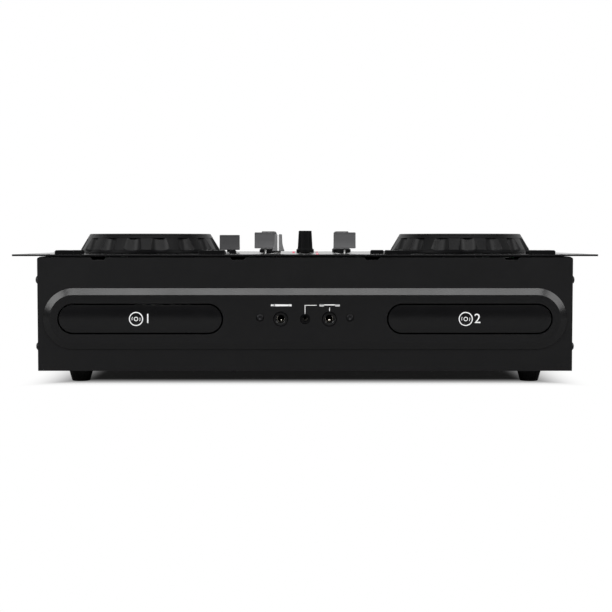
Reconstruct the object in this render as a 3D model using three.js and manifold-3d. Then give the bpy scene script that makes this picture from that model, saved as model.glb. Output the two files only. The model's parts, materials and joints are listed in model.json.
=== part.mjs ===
// Tabletop DJ CD player: twin tray-loading disc decks with a small mixer between them,
// built on a rack-width top plate. Millimetres, +Z up, +X to the player's right as
// seen from the front, the front faces -Y. The origin is the middle of the footprint.
import * as THREE from "three";
import { mergeVertices } from "three/addons/utils/BufferGeometryUtils.js";
import Module from "manifold-3d";

// Clearances shared by every piece
const seatGap = 0.3;
const slideClearance = 0.4;
const cutOverrun = 2;
const weldDistance = 1e-4;

// How finely round forms are faceted
const holeSides = 6;
const pinSides = 8;
const knobSides = 10;
const fluteSides = 10;
const ringSides = 14;
const wheelInnerSides = 14;
const wheelSides = 30;
const arcSteps = 6;
const cornerSteps = 1;
const bendSteps = 2;

// Top plate, a rack-width panel that carries every control
const plateWidth = 482.6;
const plateDepth = 310.4;
const plateThickness = 1.5;
const plateCornerRadius = 2;
const rackSlotLength = 10.3;
const rackSlotHeight = 6.8;
const rackSlotPitchX = 465.1;
const rackSlotPitchY = 117.475;

// Steel housing under the plate
const housingWidth = 441;
const housingDepth = 290;
const housingHeight = 93.7;
const sheetThickness = 1.2;
const sheetBendRadius = 3;
const topFlangeWidth = 9;
const plateOverhang = 1;
const plateShadowGap = 1;
const panelCornerRadius = 1.5;
const panelReturnDepth = 18;
const notchWidth = 13;
const notchDepth = 2;
const notchSlope = 1.5;
const notchInnerX = 55.2;
const notchOuterX = 170;
const ventSlotWidth = 3;
const ventSlotHeight = 24;
const ventSlotPitch = 9;
const ventSlotCount = 7;
const ventCentreX = -150;
const ventCentreZ = 80;

// Rubber feet
const footHeight = 11;
const footTopRadius = 10.5;
const footBottomRadius = 7.65;
const footDimpleRadius = 3.6;
const footDimpleDepth = 4;
const footInsetX = 30.5;
const footInsetY = 30;

// Moulded bezel across the front
const frontLineDrop = 53;
const bezelWidth = 432;
const bezelHeight = 50.8;
const bezelBevelWidth = 5.9;
const bezelBevelDepth = 2.9;
const bezelRim = 0.6;

// Tray doors
const doorWidth = 133.7;
const doorHeight = 22.9;
const doorThickness = 5;
const doorCrown = 1;
const doorGap = 1;
const deckPitch = 270.8;
const windowMargin = 0.8;

// Disc tray
const trayWidth = 128;
const trayLength = 165;
const trayThickness = 7.5;
const trayDropBelowLine = 5;
const trayCornerRadius = 6;
const trayFrontMargin = 5;
const discRecessRadius = 60.5;
const discRecessDepth = 4;
const smallDiscRadius = 40.6;
const smallDiscDepth = 1.2;
const trayHubOpeningRadius = 18;
const traySlotWidth = 30;
const traySlotReach = 58;
const trayTravel = 135;

// Rack under the tray and the gear that drives it
const toothModule = 1.5;
const gearTeeth = 16;
const gearThickness = 4;
const gearShaftRadius = 2.5;
const gearShaftLength = 9;
const pressureAngle = 20;
const toothBacklash = 0.4;
const toothRootShare = 1.25;
const rackInset = 14;
const rackBackWidth = 5;
const rackDrop = 5;
const rackRunOut = 10;
const rackAheadOfGear = 9;
const gearBehindFront = 24;

// Loader frame that carries tray, gear, motor and pickup
const framePlateThickness = 2;
const frameWallThickness = 2;
const frameFrontY = 12;
const frameLength = 166;
const frameDropBelowTray = 9.2;
const guideLedgeWidth = 4;
const guideLedgeThickness = 2;
const bridgeWidth = 24;
const bridgeThickness = 2.5;
const bridgeLift = 4;
const clampRadius = 15;
const motorRadius = 12;
const motorHeight = 13;
const frameLegSize = 9;
const frameLegInsetY = 14;
const railRadius = 1.5;
const railSpacing = 40;
const railBlockSize = 5;
const gearBossRadius = 5;
const gearBossHeight = 7;

// Spindle hub and pickup sled
const hubPlatterRadius = 14;
const hubPlatterThickness = 2;
const hubConeRadius = 7.3;
const hubTipRadius = 4;
const hubConeHeight = 2.2;
const hubShaftRadius = 1.5;
const hubUnderTray = 0.7;
const sledWidth = 46;
const sledLength = 26;
const sledHeight = 6;
const sledUnderTray = 1;
const sledBehindHub = 31;
const sledTravel = 34;
const lensRadius = 3.4;
const lensHeight = 0.6;

// Jog wheels
const jogPitch = 281.4;
const jogCentreY = 117;
const jogRimRadius = 62.6;
const jogLipRadius = 62.3;
const jogTopRadius = 55;
const jogRimLift = 1.5;
const jogLipHeight = 2.4;
const jogTopLift = 17.4;
const jogWall = 2.6;
const jogEdgeRadius = 1.2;
const jogPlatterRadius = 40;
const jogPlatterDepth = 0.8;
const jogDimpleRadius = 9;
const jogDimpleDepth = 1.2;
const jogDimpleWaistShare = 0.8;
const jogDimpleOffset = 28;
const jogHubRadius = 12;
const jogShaftRadius = 4;
const jogShaftLength = 14;
const jogFluteCount = 16;
const jogFluteRadius = 11;
const jogFluteDepth = 3;
const jogFluteLean = 8;
const jogFluteFloorLift = 5.4;
const jogBaseRadius = 30;
const jogBaseThickness = 0.8;
const jogBossRadius = 15;
const jogBossHeight = 15;

// Push buttons
const padWidth = 21.2;
const padDepth = 24;
const padLift = 3.3;
const padCentreY = 22.5;
const padInnerX = 77.7;
const padOuterX = 197.4;
const padCornerRadius = 1.5;
const smallButtonWidth = 5.5;
const smallButtonX = -61.7;
const midButtonWidth = 11.4;
const midButtonX = 61.6;
const sideButtonDepth = 9;
const sideButtonY = 44;
const deckButtonWidth = 16;
const deckButtonDepth = 8;
const deckButtonPitch = 35;
const deckButtonY = 203;
const deckButtonLift = 2.6;
const buttonFlange = 1.5;
const buttonFlangeThickness = 1;
const buttonStemSize = 4;
const buttonTravel = 1;
const buttonHoleClearance = 0.35;
const buttonEdgeRound = 0.6;

// Slide controls
const capWidth = 19;
const capHeight = 13.8;
const capFootDepth = 10.2;
const capTopDepth = 5.7;
const capWaistDepth = 6.6;
const capWaistShare = 0.55;
const capTopRound = 0.8;
const capScoop = 0.5;
const leverThickness = 1.2;
const leverWidth = 4;
const leverIntoCap = 6;
const faderSlotWidth = 2.4;
const channelFaderX = 34.2;
const channelFaderY = 60;
const channelFaderTravel = 45;
const channelCapLift = 4.6;
const crossfaderY = 30;
const crossfaderTravel = 45;
const pitchFaderY = 176;
const pitchFaderTravel = 60;
const pitchLeftX = -72.2;
const pitchRightX = 203;
const pitchRightY = 222;
const lowCapLift = 2.9;
const slidePotWidth = 9;
const slidePotHeight = 6;
const slidePotEnds = 25;

// Rotary knobs
const knobHeight = 20.5;
const toneKnobHeight = 20;
const knobLift = 0.8;
const knobSkirtRadius = 8.15;
const knobSkirtEdge = 2.2;
const knobSkirtHeight = 3;
const knobWaistRadius = 6.9;
const knobTopRadius = 5.7;
const knobTopRound = 0.4;
const knobShaftRadius = 3;
const knobHoleClearance = 0.6;
const knobRowY = 140;
const knobRowPitch = 26;
const potSize = 10;
const potHeight = 7;

// Control board under the plate
const boardDrop = 10;
const boardThickness = 1.6;
const boardFrontY = 8;
const boardFrontStripEnd = 42;
const boardRearStripStart = 168;
const boardRearY = 272;
const boardHalfWidth = 212;
const boardWaistHalfWidth = 86;
const boardPostSize = 5;
const boardFrontPostX = [44, 150];
const boardRearPostX = [60, 204];
const switchSize = 6;
const switchHeight = 4.4;

// Display windows
const displayWidth = 76;
const displayDepth = 24;
const displayLift = 0.6;
const displayBodyMargin = 2;
const displayCornerRadius = 2;
const displayY = 246;

// Front sockets
const largeJackPitch = 40;
const largeJackNoseRadius = 5.7;
const largeJackBoreRadius = 3.25;
const largeJackBodyWidth = 15;
const largeJackBodyDepth = 26;
const smallJackNoseRadius = 3.7;
const smallJackBoreRadius = 1.85;
const smallJackBodyWidth = 8;
const smallJackBodyDepth = 13;
const jackNoseProud = 0.3;
const jackEndWall = 2;

// Sockets and inlet on the rear wall
const phonoRows = 2;
const phonoColumns = 3;
const phonoRingRadius = 4.2;
const phonoBoreRadius = 1.7;
const phonoProud = 8;
const phonoPitchX = 22;
const phonoPitchZ = 16;
const phonoCentreX = 0;
const phonoCentreZ = 70;
const phonoBlockMargin = 10;
const phonoBlockDepth = 12;
const inletCentreX = 170;
const inletCentreZ = 60;
const inletBodyWidth = 27;
const inletBodyHeight = 48;
const inletBodyDepth = 28;
const inletFlangeWidth = 33;
const inletFlangeHeight = 54;
const inletFlangeThickness = 2.5;
const inletFlangeRadius = 3;
const inletMouthWidth = 24;
const inletMouthHeight = 16;
const inletMouthDepth = 18;
const inletMouthDrop = 12;
const inletPinWidth = 2;
const inletPinHeight = 4;
const inletPinLength = 11;
const inletPinPitch = 7;
const inletPinRise = 2;
const rockerWellWidth = 15;
const rockerWellHeight = 21;
const rockerWellDepth = 8;
const rockerRise = 12;
const rockerWidth = 13.6;
const rockerHalfHeight = 8.6;
const rockerFaceOut = 3.6;
const rockerFaceDip = 2.2;
const rockerShoulder = 1.6;
const rockerBackHalf = 4.6;
const rockerBackIn = 3.4;
const rockerTilt = 8;

// Power supply board on the housing floor
const supplyWidth = 110;
const supplyDepth = 66;
const supplyX = 40;
const supplyY = 235;
const supplyPegHeight = 8;
const supplyPegSize = 6;
const transformerWidth = 32;
const transformerDepth = 28;
const transformerHeight = 24;
const capacitorRadius = 9;
const capacitorHeight = 30;
const heatSinkLength = 56;
const heatSinkHeight = 30;
const heatSinkThickness = 3;
const heatSinkFinDepth = 8;
const heatSinkFinPitch = 8;

// Levels and faces that follow from the sizes above
const housingBottomZ = footHeight;
const housingFloorZ = housingBottomZ + sheetThickness;
const panelTopZ = housingBottomZ + housingHeight;
const plateBottomZ = panelTopZ + plateShadowGap;
const plateTopZ = plateBottomZ + plateThickness;
const frontFaceY = plateOverhang;
const panelBackY = frontFaceY + sheetThickness;
const housingRearY = frontFaceY + housingDepth;
const rearInnerY = housingRearY - sheetThickness;
const frontLineZ = plateTopZ - frontLineDrop;
const bezelDepth = bezelBevelDepth + bezelRim;
const bezelBackY = frontFaceY - seatGap;
const bezelFaceY = bezelBackY - bezelDepth;
const trayBottomZ = frontLineZ - trayDropBelowLine;
const trayTopZ = trayBottomZ + trayThickness;
const trayFrontY = bezelFaceY + doorThickness;
const discCentreY = trayFrontY + trayFrontMargin + discRecessRadius;
const framePlateTopZ = trayBottomZ - frameDropBelowTray;
const framePlateBottomZ = framePlateTopZ - framePlateThickness;
const gearPitchRadius = toothModule * gearTeeth / 2;
const rackOffsetX = trayWidth / 2 - rackInset;
const toothPitch = Math.PI * toothModule;
const boardTopZ = plateBottomZ - boardDrop;
const boardBottomZ = boardTopZ - boardThickness;
const slidePotTopZ = boardTopZ + slidePotHeight;
const potTopZ = boardTopZ + potHeight;

// Finishes
function finish(colour, roughness, metalness) {
  return { color: colour, roughness, metalness, flatShading: true };
}
const finishes = {
  blackSteel: finish(0x1b1b1c, 0.55, 0.2),
  blackPlastic: finish(0x161617, 0.5, 0),
  glossPlastic: finish(0x101011, 0.2, 0),
  greyPlastic: finish(0x4e4e50, 0.6, 0),
  whitePlastic: finish(0xc9c9c4, 0.5, 0),
  rubber: finish(0x121212, 0.9, 0),
  nickel: finish(0xb9b5aa, 0.3, 1),
  zincSteel: finish(0x9a9c9e, 0.4, 1),
  board: finish(0x1e5a34, 0.6, 0),
};

const wasm = await Module();
wasm.setup();

// Joining and cutting
function solidOf(geometry) {
  const bare = geometry.clone();
  bare.deleteAttribute("normal");
  bare.deleteAttribute("uv");
  const merged = mergeVertices(bare, weldDistance);
  const corners = merged.index.array;
  const kept = [];
  for (let i = 0; i < corners.length; i += 3) {
    const [a, b, c] = corners.slice(i, i + 3);
    if (a !== b && b !== c && c !== a) {
      kept.push(a, b, c);
    }
  }
  return new wasm.Manifold(new wasm.Mesh({
    numProp: 3,
    vertProperties: new Float32Array(merged.attributes.position.array),
    triVerts: new Uint32Array(kept),
  }));
}

function geometryOf(solid) {
  const mesh = solid.getMesh();
  const geometry = new THREE.BufferGeometry();
  geometry.setAttribute("position", new THREE.BufferAttribute(new Float32Array(mesh.vertProperties), 3));
  geometry.setIndex(new THREE.BufferAttribute(new Uint32Array(mesh.triVerts), 1));
  return geometry;
}

function join(first, ...others) {
  return geometryOf(others.reduce((sum, piece) => sum.add(solidOf(piece)), solidOf(first)));
}

function cut(body, ...tools) {
  return geometryOf(tools.reduce((rest, tool) => rest.subtract(solidOf(tool)), solidOf(body)));
}

function common(first, second) {
  return geometryOf(solidOf(first).intersect(solidOf(second)));
}

// Basic forms, each standing on z = 0 unless its name says otherwise
function block(width, depth, height) {
  return new THREE.BoxGeometry(width, depth, height).translate(0, 0, height / 2);
}

function post(radius, height, sides) {
  return new THREE.CylinderGeometry(radius, radius, height, sides)
    .rotateX(Math.PI / 2)
    .translate(0, 0, height / 2);
}

function turned(profile, sides) {
  return new THREE.LatheGeometry(profile.map(([r, z]) => new THREE.Vector2(r, z)), sides)
    .rotateX(Math.PI / 2);
}

function flat(shape, height, curveSegments) {
  return new THREE.ExtrudeGeometry(shape, { depth: height, bevelEnabled: false, curveSegments });
}

// An outline in X and Z that is thickness deep along +Y
function upright(shape, thickness, curveSegments) {
  return flat(shape, thickness, curveSegments).rotateX(Math.PI / 2).translate(0, thickness, 0);
}

// An outline in Y and Z that runs along X, half to each side
function sideways(shape, length, curveSegments) {
  return flat(shape, length, curveSegments)
    .rotateX(Math.PI / 2)
    .rotateZ(Math.PI / 2)
    .translate(-length / 2, 0, 0);
}

// A round bar along +Y
function bar(radius, length, sides) {
  return post(radius, length, sides).rotateX(-Math.PI / 2);
}

function outline(points) {
  return new THREE.Shape(points.map(([x, y]) => new THREE.Vector2(x, y)));
}

function roundedRectangle(width, height, radius) {
  const x = width / 2 - radius;
  const y = height / 2 - radius;
  const quarter = Math.PI / 2;
  const shape = new THREE.Shape();
  shape.absarc(x, -y, radius, -quarter, 0);
  shape.absarc(x, y, radius, 0, quarter);
  shape.absarc(-x, y, radius, quarter, 2 * quarter);
  shape.absarc(-x, -y, radius, 2 * quarter, 3 * quarter);
  return shape;
}

function stadium(width, height) {
  const x = (width - height) / 2;
  const quarter = Math.PI / 2;
  const shape = new THREE.Shape();
  shape.absarc(x, 0, height / 2, -quarter, quarter);
  shape.absarc(-x, 0, height / 2, quarter, 3 * quarter);
  return shape;
}

// Places that several pieces share
const sides = [-1, 1];
const deckCentres = sides.map((side) => side * deckPitch / 2);
const jogCentres = sides.map((side) => side * jogPitch / 2);
const padCentres = [-padOuterX, -padInnerX, padInnerX, padOuterX];
const deckButtonSteps = [-1, 0, 1];
const knobColumns = [-channelFaderX, 0, channelFaderX];
const knobRows = [0, 1, 2].map((row) => knobRowY + row * knobRowPitch);
const largeJackCentres = sides.map((side) => side * largeJackPitch / 2);

// Every push button: its outline size, its middle and how far it stands above the plate
const buttons = [
  ...padCentres.map((x) => ({ width: padWidth, depth: padDepth, x, y: padCentreY, lift: padLift })),
  { width: smallButtonWidth, depth: sideButtonDepth, x: smallButtonX, y: sideButtonY, lift: padLift },
  { width: midButtonWidth, depth: sideButtonDepth, x: midButtonX, y: sideButtonY, lift: padLift },
  ...jogCentres.flatMap((centre) => deckButtonSteps.map((step) => ({
    width: deckButtonWidth,
    depth: deckButtonDepth,
    x: centre + step * deckButtonPitch,
    y: deckButtonY,
    lift: deckButtonLift,
  }))),
];

// Every slide control: where its cap rests, where its slot is centred, and which way it runs
const faders = {
  channelLeft: { x: -channelFaderX, y: channelFaderY, travel: channelFaderTravel, ahead: 1 },
  channelRight: { x: channelFaderX, y: channelFaderY, travel: channelFaderTravel, ahead: 1 },
  pitchLeft: { x: pitchLeftX, y: pitchFaderY, travel: pitchFaderTravel, ahead: 0 },
  pitchRight: { x: pitchRightX, y: pitchRightY, travel: pitchFaderTravel, ahead: 0 },
};

function faderTrackCentreY(fader) {
  return fader.y + fader.ahead * fader.travel / 2;
}

// Folded floor, side walls, rear wall and top flanges
function chassisPan() {
  const top = plateBottomZ - seatGap;
  const height = top - housingBottomZ;
  const front = panelBackY + seatGap;
  const depth = housingRearY - front;
  const innerRadius = sheetBendRadius - sheetThickness;
  const outer = upright(roundedRectangle(housingWidth, height, sheetBendRadius), depth, bendSteps)
    .translate(0, front, housingBottomZ + height / 2);
  const innerWidth = housingWidth - 2 * sheetThickness;
  const innerHeight = height - 2 * sheetThickness;
  const inner = upright(roundedRectangle(innerWidth, innerHeight, innerRadius), depth, bendSteps)
    .translate(0, front - sheetThickness, housingBottomZ + height / 2);
  const mouthWidth = housingWidth - 2 * topFlangeWidth;
  const mouthDepth = depth - topFlangeWidth + cutOverrun;
  const mouth = block(mouthWidth, mouthDepth, topFlangeWidth)
    .translate(0, front - cutOverrun + mouthDepth / 2, top - topFlangeWidth / 2);
  const wallCut = 2 * cutOverrun + sheetThickness;
  const inletHole = block(inletBodyWidth + 2 * seatGap, wallCut, inletBodyHeight + 2 * seatGap)
    .translate(inletCentreX, rearInnerY, inletCentreZ - inletBodyHeight / 2 - seatGap);
  const phonoHoles = phonoCentres().map(([x, z]) => (
    bar(phonoRingRadius + seatGap, wallCut, pinSides).translate(x, rearInnerY - cutOverrun, z)
  ));
  const vents = [];
  for (let i = 0; i < ventSlotCount; i += 1) {
    const x = ventCentreX + (i - (ventSlotCount - 1) / 2) * ventSlotPitch;
    vents.push(upright(stadium(ventSlotHeight, ventSlotWidth), wallCut, cornerSteps)
      .rotateY(Math.PI / 2)
      .translate(x, rearInnerY - cutOverrun, ventCentreZ));
  }
  return cut(outer, inner, mouth, inletHole, ...phonoHoles, ...vents);
}

// Front sheet with side and bottom returns, tray windows, socket holes and top-edge notches
function frontPanel() {
  const radius = panelCornerRadius;
  const right = housingWidth / 2;
  const shape = new THREE.Shape();
  shape.moveTo(-right, housingBottomZ);
  shape.lineTo(right, housingBottomZ);
  shape.absarc(right - radius, panelTopZ - radius, radius, 0, Math.PI / 2);
  shape.absarc(radius - right, panelTopZ - radius, radius, Math.PI / 2, Math.PI);
  const face = upright(shape, sheetThickness, bendSteps).translate(0, frontFaceY, 0);
  const returnX = right - sheetThickness - seatGap - sheetThickness / 2;
  const returnBottom = housingFloorZ + seatGap;
  const sideBottom = returnBottom + sheetBendRadius;
  const flanges = sides.map((side) => (
    block(sheetThickness, panelReturnDepth, panelTopZ - topFlangeWidth - sideBottom)
      .translate(side * returnX, frontFaceY + panelReturnDepth / 2, sideBottom)
  ));
  const apron = block(2 * (returnX - sheetBendRadius), panelReturnDepth, sheetThickness)
    .translate(0, frontFaceY + panelReturnDepth / 2, returnBottom);
  const holeDepth = sheetThickness + 2 * cutOverrun;
  const holeY = frontFaceY - cutOverrun;
  const windowSize = 2 * (doorGap + windowMargin);
  const windows = deckCentres.map((x) => (
    upright(stadium(doorWidth + windowSize, doorHeight + windowSize), holeDepth, arcSteps)
      .translate(x, holeY, frontLineZ)
  ));
  const sockets = largeJackCentres.map((x) => (
    bar(largeJackNoseRadius + seatGap, holeDepth, ringSides).translate(x, holeY, frontLineZ)
  ));
  const miniSocket = bar(smallJackNoseRadius + seatGap, holeDepth, knobSides).translate(0, holeY, frontLineZ);
  const notchFoot = notchWidth / 2 - notchSlope;
  const notchHead = notchWidth / 2 + notchSlope;
  const notches = [-notchOuterX, -notchInnerX, notchInnerX, notchOuterX].map((x) => (
    upright(outline([
      [-notchFoot, -notchDepth],
      [notchFoot, -notchDepth],
      [notchHead, notchDepth],
      [-notchHead, notchDepth],
    ]), holeDepth, 1).translate(x, holeY, panelTopZ)
  ));
  return cut(join(face, ...flanges, apron), ...windows, ...sockets, miniSocket, ...notches);
}

// Raised full-round bezel: a flat field inside one wide bevel
function frontBezel() {
  const field = stadium(bezelWidth - 2 * bezelBevelWidth, bezelHeight - 2 * bezelBevelWidth);
  const doubleBevel = new THREE.ExtrudeGeometry(field, {
    depth: bezelRim,
    bevelEnabled: true,
    bevelThickness: bezelBevelDepth,
    bevelSize: bezelBevelWidth,
    bevelSegments: 1,
    curveSegments: 3 * arcSteps / 2,
  }).rotateX(Math.PI / 2).translate(0, bezelRim, 0);
  const behind = block(bezelWidth + 2 * cutOverrun, bezelDepth, bezelHeight + 2 * cutOverrun)
    .translate(0, bezelRim + bezelDepth / 2, -bezelHeight / 2 - cutOverrun);
  const body = cut(doubleBevel, behind);
  const holeDepth = bezelDepth + 2 * cutOverrun;
  const holeY = -bezelDepth - cutOverrun;
  const doorHoles = deckCentres.map((x) => (
    upright(stadium(doorWidth + 2 * doorGap, doorHeight + 2 * doorGap), holeDepth, arcSteps)
      .translate(x, holeY, 0)
  ));
  const sockets = largeJackCentres.map((x) => (
    bar(largeJackNoseRadius + seatGap, holeDepth, ringSides).translate(x, holeY, 0)
  ));
  const miniSocket = bar(smallJackNoseRadius + seatGap, holeDepth, knobSides).translate(0, holeY, 0);
  return cut(body, ...doorHoles, ...sockets, miniSocket);
}

// Rack-width plate with a hole for every control that comes through it
function topPanel() {
  const blank = flat(roundedRectangle(plateWidth, plateDepth, plateCornerRadius), plateThickness, cornerSteps)
    .translate(0, plateDepth / 2, plateBottomZ);
  const depth = plateThickness + 2 * cutOverrun;
  const bottom = plateBottomZ - cutOverrun;
  const rackSlots = sides.flatMap((side) => [-1, 0, 1].map((step) => (
    flat(stadium(rackSlotLength, rackSlotHeight), depth, arcSteps / 2)
      .translate(side * rackSlotPitchX / 2, plateDepth / 2 + step * rackSlotPitchY, bottom)
  )));
  const buttonHoles = buttons.map((button) => (
    block(button.width + 2 * buttonHoleClearance, button.depth + 2 * buttonHoleClearance, depth)
      .translate(button.x, button.y, bottom)
  ));
  const slotEnds = leverWidth + 2 * slideClearance;
  const faderSlots = Object.values(faders).map((fader) => (
    block(faderSlotWidth, fader.travel + slotEnds, depth)
      .translate(fader.x, faderTrackCentreY(fader), bottom)
  ));
  const crossSlot = block(crossfaderTravel + slotEnds, faderSlotWidth, depth)
    .translate(0, crossfaderY, bottom);
  const knobHoles = knobColumns.flatMap((x) => knobRows.map((y) => (
    post(knobShaftRadius + knobHoleClearance, depth, holeSides).translate(x, y, bottom)
  )));
  const jogHoles = jogCentres.map((x) => (
    post(jogBossRadius + seatGap, depth, ringSides).translate(x, jogCentreY, bottom)
  ));
  const displayHoles = jogCentres.map((x) => (
    block(displayWidth - displayBodyMargin, displayDepth - displayBodyMargin, depth)
      .translate(x, displayY, bottom)
  ));
  return cut(
    blank, ...rackSlots, ...buttonHoles, ...faderSlots, crossSlot, ...knobHoles, ...jogHoles, ...displayHoles,
  );
}

// Tapered rubber foot with a screw well in its sole
function foot() {
  return turned([
    [0, footDimpleDepth],
    [footDimpleRadius, footDimpleDepth],
    [footDimpleRadius, 0],
    [footBottomRadius, 0],
    [footTopRadius, footHeight - seatGap],
    [0, footHeight - seatGap],
  ], knobSides);
}

// Crowned pill-shaped front of a tray, its face towards -Y
function trayDoor() {
  const blank = upright(stadium(doorWidth, doorHeight), doorThickness - seatGap, arcSteps);
  const steps = 6;
  const crown = [];
  for (let i = 0; i <= steps; i += 1) {
    const across = 2 * i / steps - 1;
    crown.push([doorCrown * across * across, across * doorHeight / 2]);
  }
  const back = doorThickness + cutOverrun;
  const swell = sideways(outline([
    [back, -doorHeight / 2],
    ...crown,
    [back, doorHeight / 2],
  ]), doorWidth, 1);
  return common(blank, swell);
}

// Rack tooth flanks for a straight rack whose teeth point towards -X
function rackOutline(length, phase) {
  const half = toothPitch / 4 - toothBacklash / 2;
  const lean = Math.tan(THREE.MathUtils.degToRad(pressureAngle));
  const tip = -toothModule;
  const root = toothModule * toothRootShare;
  const points = [[root + rackBackWidth, 0]];
  const count = Math.floor((length - phase) / toothPitch);
  points.push([root, 0]);
  for (let i = 0; i < count; i += 1) {
    const middle = phase + i * toothPitch;
    points.push([root, middle - half - root * lean]);
    points.push([tip, middle - half + toothModule * lean]);
    points.push([tip, middle + half - toothModule * lean]);
    points.push([root, middle + half + root * lean]);
  }
  points.push([root, length]);
  points.push([root + rackBackWidth, length]);
  return outline(points.reverse());
}

// Tray with its disc seats, pickup slot and the toothed rack under its right side
function discTray() {
  const blank = flat(roundedRectangle(trayWidth, trayLength, trayCornerRadius), trayThickness, bendSteps)
    .translate(0, trayLength / 2, 0);
  const discY = trayFrontMargin + discRecessRadius;
  const seat = post(discRecessRadius, discRecessDepth + cutOverrun, wheelSides)
    .translate(0, discY, trayThickness - discRecessDepth);
  const smallSeatZ = trayThickness - discRecessDepth - smallDiscDepth;
  const smallSeat = post(smallDiscRadius, discRecessDepth, wheelSides).translate(0, discY, smallSeatZ);
  const through = trayThickness + 2 * cutOverrun;
  const hubOpening = post(trayHubOpeningRadius, through, ringSides).translate(0, discY, -cutOverrun);
  const slot = flat(roundedRectangle(traySlotWidth, traySlotReach, trayCornerRadius), through, cornerSteps)
    .translate(0, discY + traySlotReach / 2, -cutOverrun);
  const rackLength = rackAheadOfGear + trayTravel + rackRunOut;
  const gearY = gearBehindFront - trayFrontY;
  const rack = flat(rackOutline(rackLength, rackAheadOfGear % toothPitch), rackDrop + seatGap, 1)
    .translate(rackOffsetX, gearY - rackAheadOfGear, -rackDrop);
  return join(cut(blank, seat, smallSeat, hubOpening, slot), rack);
}

// Spur gear with involute flanks and its shaft below; a tooth gap faces +X
function loadingGear() {
  const angle = THREE.MathUtils.degToRad(pressureAngle);
  const base = gearPitchRadius * Math.cos(angle);
  const root = gearPitchRadius - toothModule * toothRootShare;
  const tip = gearPitchRadius + toothModule;
  const involute = (value) => Math.tan(value) - value;
  const halfAtPitch = (toothPitch / 4 - toothBacklash / 2) / gearPitchRadius;
  const halfAngle = (radius) => halfAtPitch + involute(angle) - involute(Math.acos(base / radius));
  const radii = [base, (base + tip) / 2, tip];
  const shape = [];
  for (let tooth = 0; tooth < gearTeeth; tooth += 1) {
    const middle = (tooth + 1 / 2) * 2 * Math.PI / gearTeeth;
    const flank = [[root, halfAngle(base)], ...radii.map((radius) => [radius, halfAngle(radius)])];
    flank.forEach(([r, half]) => shape.push([r * Math.cos(middle - half), r * Math.sin(middle - half)]));
    flank.reverse();
    flank.forEach(([r, half]) => shape.push([r * Math.cos(middle + half), r * Math.sin(middle + half)]));
  }
  const shaft = post(gearShaftRadius, gearShaftLength, pinSides).translate(0, 0, -gearShaftLength);
  return join(flat(outline(shape), gearThickness, 1), shaft.translate(0, 0, gearThickness / 2));
}

// Moulded loader frame: floor, guide channels for the tray, bridge, motor, rails and legs
function discDriveFrame() {
  const inner = trayWidth / 2 + slideClearance;
  const outer = inner + frameWallThickness;
  const ledgeIn = inner - guideLedgeWidth;
  const lowLedgeTop = trayBottomZ - seatGap;
  const lowLedgeBottom = lowLedgeTop - guideLedgeThickness;
  const highLedgeBottom = trayTopZ + seatGap;
  const wallTop = highLedgeBottom + guideLedgeThickness;
  const half = [
    [inner, framePlateTopZ],
    [inner, lowLedgeBottom],
    [ledgeIn, lowLedgeBottom],
    [ledgeIn, lowLedgeTop],
    [inner, lowLedgeTop],
    [inner, highLedgeBottom],
    [ledgeIn, highLedgeBottom],
    [ledgeIn, wallTop],
    [outer, wallTop],
    [outer, framePlateBottomZ],
  ];
  const mirrored = half.map(([x, z]) => [-x, z]).reverse();
  const channel = upright(outline([...half, ...mirrored].reverse()), frameLength, 1)
    .translate(0, frameFrontY, 0);
  const bridgeZ = trayTopZ + bridgeLift;
  const bridgeFeet = sides.map((side) => (
    block(frameWallThickness, bridgeWidth, bridgeZ + bridgeThickness - wallTop + guideLedgeThickness)
      .translate(side * (outer - frameWallThickness / 2), discCentreY, wallTop - guideLedgeThickness)
  ));
  const bridge = block(2 * outer, bridgeWidth, bridgeThickness).translate(0, discCentreY, bridgeZ);
  const clampLift = bridgeLift / 2;
  const clamp = post(clampRadius, clampLift + bridgeThickness / 2, knobSides)
    .translate(0, discCentreY, bridgeZ - clampLift);
  const motor = post(motorRadius, motorHeight + framePlateThickness / 2, knobSides)
    .translate(0, discCentreY, framePlateBottomZ - motorHeight);
  const legBottom = housingFloorZ + seatGap;
  const legX = outer - frameLegSize / 2;
  const legs = sides.flatMap((side) => [frameLegInsetY, frameLength - frameLegInsetY].map((y) => (
    block(frameLegSize, frameLegSize, framePlateTopZ - legBottom - framePlateThickness / 2)
      .translate(side * legX, frameFrontY + y, legBottom)
  )));
  const railZ = sledBottomZ() + sledHeight / 2;
  const railStart = sledRestY() - sledLength / 2 - railBlockSize - slideClearance;
  const railEnd = sledRestY() + sledLength / 2 + sledTravel + slideClearance;
  const railBlocks = sides.flatMap((side) => [railStart, railEnd].map((y) => (
    block(railBlockSize, railBlockSize, railZ + railRadius - framePlateBottomZ)
      .translate(side * railSpacing / 2, y + railBlockSize / 2, framePlateBottomZ)
  )));
  const rails = sides.map((side) => (
    bar(railRadius, railEnd - railStart, holeSides)
      .translate(side * railSpacing / 2, railStart + railBlockSize / 2, railZ)
  ));
  const gearX = rackOffsetX - gearPitchRadius;
  const bossBottomZ = framePlateBottomZ - gearBossHeight;
  const bossHeight = gearBottomZ() - seatGap - bossBottomZ;
  const boss = post(gearBossRadius, bossHeight, pinSides).translate(gearX, gearBehindFront, bossBottomZ);
  const bossBore = post(gearShaftRadius + seatGap, bossHeight + cutOverrun, pinSides)
    .translate(gearX, gearBehindFront, bossBottomZ + gearBossHeight / 2);
  const motorBore = post(hubShaftRadius + seatGap, framePlateThickness + motorHeight, holeSides)
    .translate(0, discCentreY, framePlateTopZ - motorHeight / 2);
  const whole = join(channel, ...bridgeFeet, bridge, clamp, motor, ...legs, ...railBlocks, ...rails, boss);
  return cut(whole, bossBore, motorBore);
}

function gearBottomZ() {
  return trayBottomZ - seatGap - gearThickness;
}

function sledBottomZ() {
  return trayBottomZ - sledUnderTray - lensHeight - sledHeight;
}

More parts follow.
